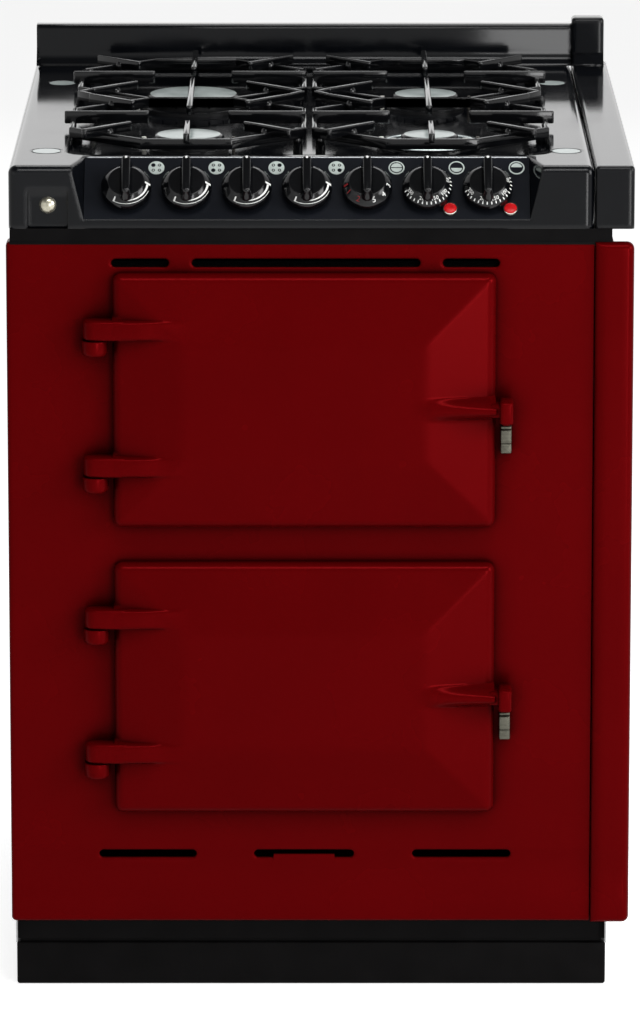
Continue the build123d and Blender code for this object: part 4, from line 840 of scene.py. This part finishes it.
class COOKER_OT_symbols(bpy.types.Operator):
    """Make the seven printed symbol discs and the two red lamps"""

    bl_idname = "cooker.symbols"
    bl_label = "Symbols and Lamps"

    def execute(self, context):
        discs, dark = [], []
        filled = {"rear_left": (-1, 1), "front_left": (-1, -1), "rear_right": (1, 1), "front_right": (1, -1)}
        pale = {"grill": (1, -1), "upper_oven": (-1,), "lower_oven": (1,)}
        for name in GAS + ELECTRIC:
            low, high = corners(name + "_knob")
            place = on_panel((low[0] + high[0]) / 2 + size("symbol_side"), size("symbol_lift"))
            discs.append(lathe(DISC, place, 48))
            if name in GAS:
                for sx in (-1, 1):
                    for sy in (-1, 1):
                        spot = place.copy()
                        spot[0] = place[0] + 3.1 * sx * place[1] + 3.1 * sy * place[2]
                        full = filled[name] == (sx, sy)
                        radius = 2.2 if full else 1.7
                        dark.append(lathe(((radius, 0.3), (radius, 0.5)), spot, 20))
                        discs += [] if full else [lathe(((0.8, 0.4), (0.8, 0.6)), spot, 14)]
            else:
                dark.append(lathe(((6.6, 0.3), (6.6, 0.5)), place, 40))
                discs += [half_disc(5.4, sign, place, 0.6) for sign in pale[name]]
        build("symbol_discs", discs, "disc_print")
        build("symbol_signs", dark, "charcoal_panel")
        low, high = corners("neon_lamps")
        rim, lens = [], []
        a = np.linspace(0, PI / 2, 8)[:-1]
        for x in (low[0] + LAMP_RADIUS, high[0] - LAMP_RADIUS):
            place = on_panel(x, size("lamp_lift"))
            rim.append(lathe(LAMP_RIM, place))
            lens.append(lathe(np.c_[np.r_[6.3, 6.3 * np.cos(a)], np.r_[2.4, 3.3 + 1.4 * np.sin(a)]], place, 40))
        build("lamp_rims", rim, "bezel")
        # Painted highlight: a thin bright bead along the top of the panel stands in for the highlight on the rolled
        # edge of the enamel
        top = PANEL_HALF / SLOPE
        bead = pillow(((PANEL_LOW[0] + 3, top), (PANEL_HIGH[0] - 3, top)), 0.8, -0.7, 0.6, 0.5, on_panel(0, 0), 8)
        build("panel_edge_bead", [bead], "bright_edge")
        build("lamp_lenses", lens, "lamp_red", replaces=["neon_lamps"])
        return {"FINISHED"}


# Hob


# From the outer side of a pan support to its burners, the corners of a ring, and how far the rings lie low
SUPPORT_HALF = 128
RING = np.array(((45, 130), (118, 60), (118, -60), (45, -130), (-45, -130), (-118, -60), (-118, 60), (-45, 130)))
RING_DROP = 7
# Where the outer and the inner feet stand, and the rows of feet behind the front
EDGE_Z, WELL_Z, FOOT_ROWS = 846, 829, (165, 545)
# First and last depth of the bars along the middle
SPINE = (86, 164), (260, 440), (516, 628)


def support_patches(name, outward_side):
    """Rounded bars of one pan support: two octagon rings, fingers, links, bosses and feet."""
    low, high = corners(name)
    middle = (low[0] + SUPPORT_HALF) if outward_side < 0 else (high[0] - SUPPORT_HALF)
    top, ring_top, centre = high[2], high[2] - RING_DROP, sum(HOB_ROWS) / 2
    patches = []

    def bar(x0, d0, x1, d1, radius, peak, tall, soft=1.3):
        ends = (middle + x0, d0), (middle + x1, d1)
        patches.append(pillow(ends, radius, peak - tall, peak, soft, standing(), 7, 4))

    for row in HOB_ROWS:
        for (x0, y0), (x1, y1) in zip(RING, np.roll(RING, -1, axis=0)):
            bar(x0, row + y0, x1, row + y1, 2.7, ring_top, 11)
        for sx in (-1, 1):
            reach = 125 if sx == outward_side else 117.5
            bar(sx * 43, row, sx * reach, row, 2.4, top, 13)
            for sy in (-1, 1):
                bar(sx * 60, row + sy * 66, sx * 103, row + sy * 112, 3, top, 10)
                a = np.linspace(-PI / 2, PI / 2, 11)
                ball = np.c_[5.5 * np.cos(a), ring_top - 2 + 7 * np.sin(a)]
                patches.append(lathe(ball[1:-1], standing(middle + sx * 80, row + sy * 87.5), 20))
    for d0, d1 in SPINE:
        bar(0, d0, 0, d1, 3, top, 10)
    for sx in (-1, 1):
        for sy in (-1, 1):
            bar(sx * 103, centre + sy * 18, sx * 116, centre, 2.5, top, 10)
        ground = EDGE_Z if sx == outward_side else WELL_Z
        for depth in FOOT_ROWS:
            foot = ((4.4, ground), (5, ground + 1), (5, ring_top - 4), (3.2, ring_top - 1))
            patches.append(lathe(foot, standing(middle + sx * 112, depth), 24))
    return patches


class COOKER_OT_supports(bpy.types.Operator):
    """Make the two cast pan supports"""

    bl_idname = "cooker.supports"
    bl_label = "Pan Supports"

    def execute(self, context):
        for name, side in (("left", -1), ("right", 1)):
            node = name + "_pan_support"
            build(node + "_casting", support_patches(node, side), "cast_black", name + "_support", [node])
        return {"FINISHED"}


# Across, depth, and radius of the cap and of the flange of each burner
LEFT_X, RIGHT_X = -134.5, 112.5
BURNERS = (
    (LEFT_X, HOB_ROWS[0], 36, 41), (LEFT_X, HOB_ROWS[1], 49.5, 54),
    (RIGHT_X, HOB_ROWS[0], 29.5, 44.5), (RIGHT_X, HOB_ROWS[1], 36, 41))
# Turned outlines in steps from the radius of the cap or of the flange, and the heights they start from
CAP_Z, BEAD_Z, COLLAR_Z = 840, 831.5, 837
CAP = (-5, 0), (-0.8, 0), (0, 0.8), (0, 3.2), (-0.6, 4.6), (-1.8, 5.6), (-3.4, 6)
CAP_FACE = (-3.6, 5.8), (-3.6, 6.05), (-4.4, 6.2)
BEAD = (-6, 0), (-4.4, 1.5), (-3, 2.1), (-1.4, 1.7), (0, 0.1)
COLLAR = (-2, 0), (-1, 1.4), (0, 2), (9, 1.6), (10.5, 0.4), (10, -0.1)
SKIRT = (-1, -7.7), (-1, 0), (8, 0), (9.5, -7.7)


def turned(steps, radius, z, place, more=(), count=72):
    """A lathe shape from steps off a radius and a height, and then more points inside it."""
    return lathe([*((radius + r, z + h) for r, h in steps), *((r, z + h) for r, h in more)], place, count)


class COOKER_OT_burners(bpy.types.Operator):
    """Make the four burner caps, the beads of their flanges and the two locating lugs"""

    bl_idname = "cooker.burners"
    bl_label = "Burner Caps"

    def execute(self, context):
        caps, tops, beads = [], [], []
        for x, depth, radius, flange in BURNERS:
            place, face = standing(x, depth), radius - 3.6
            caps.append(turned(CAP, radius, CAP_Z, place, ((radius * 0.8, 5.9), (radius * 0.4, 5.7)), 80))
            tops.append(turned(CAP_FACE, radius, CAP_Z, place, ((face * 0.5, 6.1),)))
            beads.append(turned(BEAD, flange, BEAD_Z, place))
        build("burner_cap_discs", caps, "cap_grey", replaces=["burner_caps"])
        build("burner_cap_faces", tops, "cap_top")
        build("burner_flange_beads", beads, "black_enamel")
        x, depth, radius, flange = BURNERS[2]
        lugs = [slab(6, 11, 1.5, 832, 841, 1.2, standing(x + side * (radius + 7), depth), 5)
                for side in (-1, 1)]
        build("burner_lugs", lugs, "ceramic")
        place = standing(x, depth)
        build("burner_collar", [turned(COLLAR, flange, COLLAR_Z, place)], "collar")
        build("burner_collar_skirt", [turned(SKIRT, flange, COLLAR_Z, place)], "black_enamel")
        return {"FINISHED"}


def run_along_x(outline, start, end, soft):
    """P(i, t): a closed (depth, height) outline drawn out along X, drawn in by soft at both ends."""
    outline = np.asarray(outline, float)
    along = np.roll(outline, -1, axis=0) - np.roll(outline, 1, axis=0)
    normal = np.stack([along[:, 1], -along[:, 0]], -1)
    normal /= np.linalg.norm(normal, axis=1, keepdims=True)
    t = np.linspace(0, PI / 2, 4)
    inset = np.r_[soft * (1 - np.sin(t)), soft * (1 - np.cos(t))]
    xs = np.r_[start + soft * (1 - np.cos(t)), end - soft * (1 - np.sin(t))]
    flat = outline - inset[:, None, None] * normal
    x = np.broadcast_to(xs[:, None, None], flat.shape[:2] + (1,))
    return np.concatenate([x, flat + (FRONT_Y, 0)], -1), *CLOSED


def quarter(middle, radius, start, steps=6):
    """Points of a quarter circle, anticlockwise from a start angle in degrees; a negative radius is a cove."""
    angle = np.radians(np.linspace(start, start + 90, steps))
    turn = np.stack([np.cos(angle), np.sin(angle)], -1) * abs(radius)
    return np.array(middle) + (turn if radius > 0 else turn[::-1])


def coved_bar(low, high, cove, top):
    """The outline of a bar with a rounded top and a cove at its front foot, anticlockwise from the back foot."""
    front, back = low[1] - FRONT_Y, high[1] - FRONT_Y
    foot = low[2]
    return np.concatenate([
        [(back, foot)], quarter((back - top, high[2] - top), top, 0), quarter((front + top, high[2] - top), top, 90),
        quarter((front - cove, foot + cove), -cove, 270, 8)])


class COOKER_OT_plinth(bpy.types.Operator):
    """Make the plinth board with its side returns and the recessed line along its top"""

    bl_idname = "cooker.plinth"
    bl_label = "Plinth"

    def execute(self, context):
        low, high = corners("plinth")
        front, deep = low[1] - FRONT_Y, high[1] - low[1]
        thick, line, soft = size("plinth_board"), size("plinth_line"), 2.6
        wide, middle = high[0] - low[0], (low[0] + high[0]) / 2
        top = high[2] - line
        patches = [slab(wide, thick, 3.0, low[2], top, soft, standing(middle, front + thick / 2))]
        for x in (low[0] + thick / 2, high[0] - thick / 2):
            side = standing(x, front + (deep + soft) / 2)
            patches.append(slab(thick, deep - soft, 3.0, low[2], top, soft, side))
        strip = standing(middle, front + (thick + line) / 2)
        patches.append(slab(wide - 2 * line, thick - line - 1, 1.5, high[2] - 3 * line, high[2], 0.2, strip))
        build("plinth_boards", patches, "black_paint", replaces=["plinth"])
        return {"FINISHED"}


class COOKER_OT_upstands(bpy.types.Operator):
    """Make the upstand along the back with a cove at its foot, and the cove of the filler block"""

    bl_idname = "cooker.upstands"
    bl_label = "Upstands"

    def execute(self, context):
        low, high = corners("upstand")
        bar = run_along_x(coved_bar(low, high, size("upstand_cove"), 5), low[0], high[0] + 0.95, 0.4)
        build("upstand_bar", [bar], "black_enamel", replaces=["upstand"])
        low, high = corners("top_filler_strip")
        depth, foot, cove = high[1] - FRONT_Y - BLOCK_DEPTH, HOB_Z, size("upstand_cove")
        outline = np.concatenate([[(depth + 1, foot - 0.5), (depth + 1, foot + cove)],
                                  quarter((depth - cove, foot + cove), -cove, 270, 8)])
        build("filler_cove", [run_along_x(outline, low[0] + 0.5, high[0] - 4.5, 0.3)], "black_enamel")
        return {"FINISHED"}


class COOKER_OT_finishes(bpy.types.Operator):
    """Give every CAD node that stays in view its procedural finish"""

    bl_idname = "cooker.finishes"
    bl_label = "CAD Finishes"

    def execute(self, context):
        special = {"spark_electrodes": "ceramic", "top_plate_caps": "cap_top", "rail_bolt": "bolt"}
        for name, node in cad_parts.items():
            slot = node.data.materials[0].name.split(".")[0]
            finish = special.get(name, slot)
            node.data.materials.clear()
            node.data.materials.append(material(finish))
        return {"FINISHED"}


# Studio


# How bright the ceiling is in mirrors, and the heights of view between which the backdrop falls off to it
CEILING, CEILING_SPAN = 0.15, (0.25, 0.8)
FLOOR_TONE, FLOOR_GLOW = (0.86, 0.86, 0.86, 1), 0.72
# Place, target, width and height of each light, in metres
LIGHTS = {
    "key": ((2.7, -1.7, 1.8), (0, -0.3, 0.5), 1.5, 1.9),
    "fill": ((-2.8, -3.2, 1.6), (0, 0, 0.5), 1.8, 1.8),
    "top": ((0.2, 1.5, 2.9), (0, 0, 0.8), 1.8, 1.2),
    "front": ((0.3, -1.5, 2.8), (0, -0.35, 0.5), 1.6, 0.6),
    "facet": ((1.5, -3.9, 0.8), (0, -0.35, 0.5), 0.9, 1.8),
    "back": ((0, 5.0, 1.7), (0, 0, 1.0), 5.0, 1.4),
}


def aim(obj, place, target):
    """Puts an object at a place so that its -Z axis points at a target."""
    obj.location = place
    obj.rotation_euler = (Vector(target) - Vector(place)).to_track_quat("-Z", "Y").to_euler()


def add_light(name, place, target, wide, tall, power):
    """A rectangular area light."""
    data = bpy.data.lights.new(name, "AREA")
    data.shape = "RECTANGLE"
    data.size, data.size_y = wide, tall
    data.energy = power
    obj = bpy.data.objects.new(name, data)
    bpy.context.scene.collection.objects.link(obj)
    aim(obj, place, target)
    return obj


def seen_rays(tree, kinds):
    """1 for what the camera sees by these kinds of ray, and 0 for light on the object."""
    light = add(tree, "LightPath")
    seen = light.outputs[kinds[0]]
    for kind in kinds[1:]:
        both = add(tree, "Math")
        both.operation = "MAXIMUM"
        tree.links.new(seen, both.inputs[0])
        tree.links.new(light.outputs[kind], both.inputs[1])
        seen = both.outputs["Value"]
    return seen


def backdrop(tree):
    """The room in reflections: a white backdrop all round that falls off to a dim ceiling."""
    place = add(tree, "TexCoord").outputs["Object"]
    rise = add(tree, "SeparateXYZ", Vector=place).outputs["Z"]
    return between(tree, rise, 1.0, CEILING, *CEILING_SPAN)


def white_world(strength):
    """White to the camera and through glass, the backdrop in mirrors, a softer fill for everything else."""
    world = bpy.data.worlds.new("studio_world")
    world.use_nodes = True
    tree = world.node_tree
    soft = between(tree, seen_rays(tree, ("Is Camera Ray", "Is Transmission Ray")), strength, 1.0, 0.0, 1.0)
    choice = add(tree, "Mix")
    for index, value in ((0, seen_rays(tree, ("Is Glossy Ray",))), (2, soft), (3, backdrop(tree))):
        tree.links.new(value, choice.inputs[index])
    fill(tree.nodes["Background"], Color=(1, 1, 1, 1), Strength=choice.outputs[0])
    bpy.context.scene.world = world


def floor_finish():
    """A matt near-white floor that shows the shadow of the object."""
    made = bpy.data.materials.new("finish_floor")
    made.use_nodes = True
    tree = made.node_tree
    seen = seen_rays(tree, ("Is Camera Ray", "Is Glossy Ray", "Is Transmission Ray"))
    fill(tree.nodes["Principled BSDF"], Base_Color=FLOOR_TONE, Roughness=1.0, Specular_IOR_Level=0.0,
         Emission_Color=(1, 1, 1, 1), Emission_Strength=between(tree, seen, 0.0, FLOOR_GLOW, 0.0, 1.0))
    return made


class COOKER_OT_stage(bpy.types.Operator):
    """Set up the floor, the lights, the white surround and the camera"""

    bl_idname = "cooker.stage"
    bl_label = "Studio Stage"

    def execute(self, context):
        stage = context.scene.cooker_stage
        half = stage.floor_half
        mesh = bpy.data.meshes.new("studio_floor")
        mesh.from_pydata([(-half, -half, 0), (half, -half, 0), (half, half, 0), (-half, half, 0)], [], [(0, 1, 2, 3)])
        mesh.materials.append(floor_finish())
        floor = bpy.data.objects.new("studio_floor", mesh)
        context.scene.collection.objects.link(floor)
        lights = [add_light(name + "_light", *how, getattr(stage, name + "_power")) for name, how in LIGHTS.items()]
        white_world(stage.surround)
        data = bpy.data.cameras.new("photo_camera")
        data.lens = stage.lens
        data.shift_x, data.shift_y = stage.shift_x, stage.shift_y
        data.clip_end = 100.0
        camera = bpy.data.objects.new("photo_camera", data)
        context.scene.collection.objects.link(camera)
        camera.location = stage.camera_place
        camera.rotation_euler = (PI / 2 - stage.camera_dip, 0, 0)
        context.scene.camera = camera
        context.scene.view_settings.view_transform = "Standard"
        return {"FINISHED"}


# Properties and panel


def length(name, text, value, least=0.0):
    """A length property in metres, from millimetres."""
    return FloatProperty(name=name, description=text, default=value * MM, min=least, unit="LENGTH", precision=4)


def power(name, text, value):
    """The power of a light in watts."""
    return FloatProperty(name=name, description=text, default=value, min=0.0, unit="POWER")


def tint(name, text, red, green, blue):
    """A linear colour property."""
    return FloatVectorProperty(name=name, description=text, default=(red, green, blue), size=3, min=0.0, max=1.0,
                               subtype="COLOR")


class CookerSizes(bpy.types.PropertyGroup):
    door_edge: length("Door Edge", "Radius along the rim and at the corners of a door", 8.5)
    door_crown: length("Door Crown", "Height of the crown over the rim plane", 12.0)
    door_facet: length("Door Facet", "Width of the sloped facets", 70.0)
    door_rim: length("Door Rim", "How far the rim plane stands out of the red front", 15.0)
    door_gap: length("Door Gap", "Gap between the red front and the back of a door", 3.0)
    liner_inset: length("Liner Inset", "From the edge of a door to its liner", 19.0)
    knuckle: length("Knuckle", "Radius of the hinge arms at their end", 12.0)
    arm_height: length("Arm Height", "Height of a hinge arm", 20.0)
    arm_run: length("Arm Run", "Length of a hinge arm on the door", 82.0)
    arm_fade: length("Arm Fade", "Length over which a hinge arm fades into the door", 58.0)
    low_arm: length("Low Arm", "Rise of the lower arm over the foot of the door", 54.5)
    high_arm: length("High Arm", "Rise of the upper arm over the foot of the door", 193.5)
    lug_rise: length("Lug Rise", "Rise of the lug over the foot of the door", 123.6)
    lug_run: length("Lug Run", "Length of the lug's rib on the door", 83.0)
    lug_flange: length("Lug Flange", "Thickness of the flange at the end of the lug", 10.5)
    panel_edge: length("Panel Edge", "Radius of the rolled edge of the red front", 4.5)
    front_sheet: length("Front Sheet", "Thickness of the red front", 4.0)
    front_return: length("Front Return", "Depth of the return round the red front", 24.0)
    front_crease: length("Front Crease", "Rise of the crease over the foot of the red front", 77.0)
    foot_band: length("Foot Band", "Height of the band along the foot of the red front", 24.0)
    foot_hollow: length("Foot Hollow", "Depth of the hollow over the foot band", 1.8)
    foot_out: length("Foot Out", "How far the foot band stands out", 1.2)
    hole_edge: length("Hole Edge", "Width of the dished rim of a slot", 4.0)
    hole_sink: length("Hole Sink", "Depth of the dished rim of a slot", 1.2)
    mouth_gap: length("Mouth Gap", "Gap between a door's liner and the oven's mouth", 3.0)
    mouth_corner: length("Mouth Corner", "Corner radius of an oven's mouth", 5.0)
    top_slot_drop: length("Top Slot Drop", "From the top of the red front to its upper slots", 21.6)
    low_slot_rise: length("Low Slot Rise", "From the foot of the red front to its lower slots", 70.6)
    tongue_drop: length("Tongue Drop", "From the middle of the low slot down to its tongue", 0.6)
    # The black strip under the top is partly a painted shadow line over the red front
    shade_gasket_height: length("Gasket Height", "Height of the black strip between the red front and the top", 5.0)
    shade_gasket_depth: length("Gasket Depth", "Depth of the black strip", 8.0)
    shade_gasket_back: length("Gasket Back", "How far the black strip lies behind the face of the red front", 0.4)
    filler_proud: length("Filler Proud", "How far the red filler stands out of the red front", 7.0)
    filler_edge: length("Filler Edge", "Radius of the rolled edge of the red filler", 7.0)
    filler_lean: length("Filler Lean", "Width of the roll on the left of the red filler", 13.0)
    filler_web: length("Filler Web", "Thickness of the filler's fixing web", 2.5)
    upstand_cove: length("Upstand Cove", "Radius of the cove at the foot of the upstand", 13.0)
    plinth_board: length("Plinth Board", "Thickness of the plinth board", 10.0)
    plinth_line: length("Plinth Line", "Height and depth of the recessed line over the plinth", 3.4)
    bracket: length("Bracket", "Radius of a hinge bracket", 13.0)
    bracket_height: length("Bracket Height", "Height of a hinge bracket", 16.0)
    catch_height: length("Catch Height", "Height of a door catch with its foot", 30.5)
    symbol_side: length("Symbol Side", "From a knob across to its symbol", 29.5)
    symbol_lift: length("Symbol Lift", "Rise of the symbols up the panel", 24.7)
    knob_lift: length("Knob Lift", "Rise of the knobs up the panel", -5.0, -1.0)
    lamp_lift: length("Lamp Lift", "Rise of the lamps up the panel", -26.7, -1.0)


class CookerColours(bpy.types.PropertyGroup):
    red: tint("Red", "Front enamel", 0.093, 0.0006, 0.0012)
    black: tint("Black", "Top enamel", 0.0022, 0.0026, 0.0036)
    soft_black: tint("Soft Black", "Plinth paint", 0.0036, 0.0033, 0.0034)
    charcoal: tint("Charcoal", "Control panel", 0.006, 0.007, 0.0098)
    cast: tint("Cast", "Pan supports", 0.0028, 0.003, 0.0036)
    knob: tint("Knob", "Knob plastic", 0.0018, 0.002, 0.0026)
    lamp: tint("Lamp", "Lamp lens", 0.42, 0.007, 0.009)
    zinc: tint("Zinc", "Zinc sheet", 0.33, 0.335, 0.34)
    oven: tint("Oven", "Oven enamel", 0.012, 0.013, 0.016)
    chrome: tint("Chrome", "Plated wire", 0.6, 0.6, 0.61)
    element: tint("Element", "Element sheath", 0.09, 0.08, 0.07)
    alloy: tint("Alloy", "Blackened burner alloy", 0.02, 0.02, 0.021)
    brass: tint("Brass", "Tap brass", 0.56, 0.38, 0.15)
    steel: tint("Steel", "Pipe steel", 0.36, 0.36, 0.36)
    catch: tint("Catch", "Catch metal", 0.08, 0.077, 0.06)
    # Partly painted shade: a black fleece, darkened to near zero so that the insulation seen through the slots reads
    # as shade
    wool: tint("Wool", "Black fleece facing of the insulation", 0.002, 0.002, 0.002)
    rope: tint("Rope", "Door seal", 0.1, 0.098, 0.09)
    bakelite: tint("Bakelite", "Control bodies", 0.03, 0.02, 0.015)
    ceramic: tint("Ceramic", "Electrode ceramic", 0.7, 0.69, 0.64)
    white: tint("White", "Printed marks", 0.78, 0.78, 0.76)
    red_print: tint("Red Print", "Red printed marks", 0.2, 0.01, 0.012)
    disc: tint("Disc", "Symbol discs", 0.46, 0.52, 0.49)
    bezel: tint("Bezel", "Lamp rims", 0.17, 0.165, 0.15)
    collar: tint("Collar", "Polished plate round the front right burner", 0.5, 0.55, 0.56)
    # Painted highlight: the colour of the bead that stands in for the highlight on the panel's top edge
    edge: tint("Edge", "Bright bead along the top of the panel", 0.42, 0.43, 0.45)
    pale_cap: tint("Pale Cap", "Burner cap tops and plate caps", 0.37, 0.42, 0.41)
    bolt: tint("Bolt", "Plated bolt", 0.42, 0.4, 0.32)


class CookerStage(bpy.types.PropertyGroup):
    floor_half: FloatProperty(name="Floor Half", description="Half the width of the floor", default=12.0,
                              unit="LENGTH")
    key_power: power("Key", "Power of the light on the right", 68.0)
    fill_power: power("Fill", "Power of the light on the left", 4.0)
    top_power: power("Top", "Power of the light above", 30.0)
    front_power: power("Front", "Power of the light above the front", 27.0)
    facet_power: power("Facets", "Power of the light seen in the right facets", 46.0)
    back_power: power("Back", "Power of the light behind the hob", 9.0)
    surround: FloatProperty(name="Surround", description="Strength of the surround as a light", default=0.2)
    lens: FloatProperty(name="Lens", description="Focal length in millimetres", default=236.75, subtype="NONE")
    shift_x: FloatProperty(name="Shift X", description="Sideways shift of the lens", default=0.0025)
    shift_y: FloatProperty(name="Shift Y", description="Upward shift of the lens", default=-0.16)
    camera_dip: FloatProperty(name="Dip", description="How far the camera looks down", default=0.19832,
                              subtype="ANGLE")
    camera_place: FloatVectorProperty(name="Camera", description="Where the camera stands", size=3,
                                      default=(-0.0025, -6.8175, 1.97813), subtype="TRANSLATION", unit="LENGTH")


OPERATORS = (
    COOKER_OT_finishes, COOKER_OT_front, COOKER_OT_doors, COOKER_OT_brackets, COOKER_OT_catches, COOKER_OT_knobs,
    COOKER_OT_symbols, COOKER_OT_supports, COOKER_OT_burners, COOKER_OT_upstands, COOKER_OT_plinth, COOKER_OT_stage)


class COOKER_PT_panel(bpy.types.Panel):
    """Lists the steps of the build and their settings"""

    bl_label = "Range Cooker"
    bl_idname = "COOKER_PT_panel"
    bl_space_type = "VIEW_3D"
    bl_region_type = "UI"
    bl_category = "Cooker"

    def draw(self, context):
        for operator in OPERATORS:
            self.layout.operator(operator.bl_idname)
        for group in (context.scene.cooker_sizes, context.scene.cooker_colours, context.scene.cooker_stage):
            for name in group.__annotations__:
                self.layout.prop(group, name)


GROUPS = {"cooker_sizes": CookerSizes, "cooker_colours": CookerColours, "cooker_stage": CookerStage}


def register():
    for group in GROUPS.values():
        bpy.utils.register_class(group)
    for name, group in GROUPS.items():
        setattr(bpy.types.Scene, name, PointerProperty(type=group))
    for operator in OPERATORS:
        bpy.utils.register_class(operator)
    bpy.utils.register_class(COOKER_PT_panel)


def unregister():
    bpy.utils.unregister_class(COOKER_PT_panel)
    for operator in reversed(OPERATORS):
        bpy.utils.unregister_class(operator)
    for name in GROUPS:
        delattr(bpy.types.Scene, name)
    for group in reversed(GROUPS.values()):
        bpy.utils.unregister_class(group)


def main():
    register()
    bpy.ops.cooker.finishes()
    bpy.ops.cooker.front()
    bpy.ops.cooker.doors()
    bpy.ops.cooker.brackets()
    bpy.ops.cooker.catches()
    bpy.ops.cooker.knobs()
    bpy.ops.cooker.symbols()
    bpy.ops.cooker.supports()
    bpy.ops.cooker.burners()
    bpy.ops.cooker.upstands()
    bpy.ops.cooker.plinth()
    bpy.ops.cooker.stage()


if __name__ == "__main__":
    main()
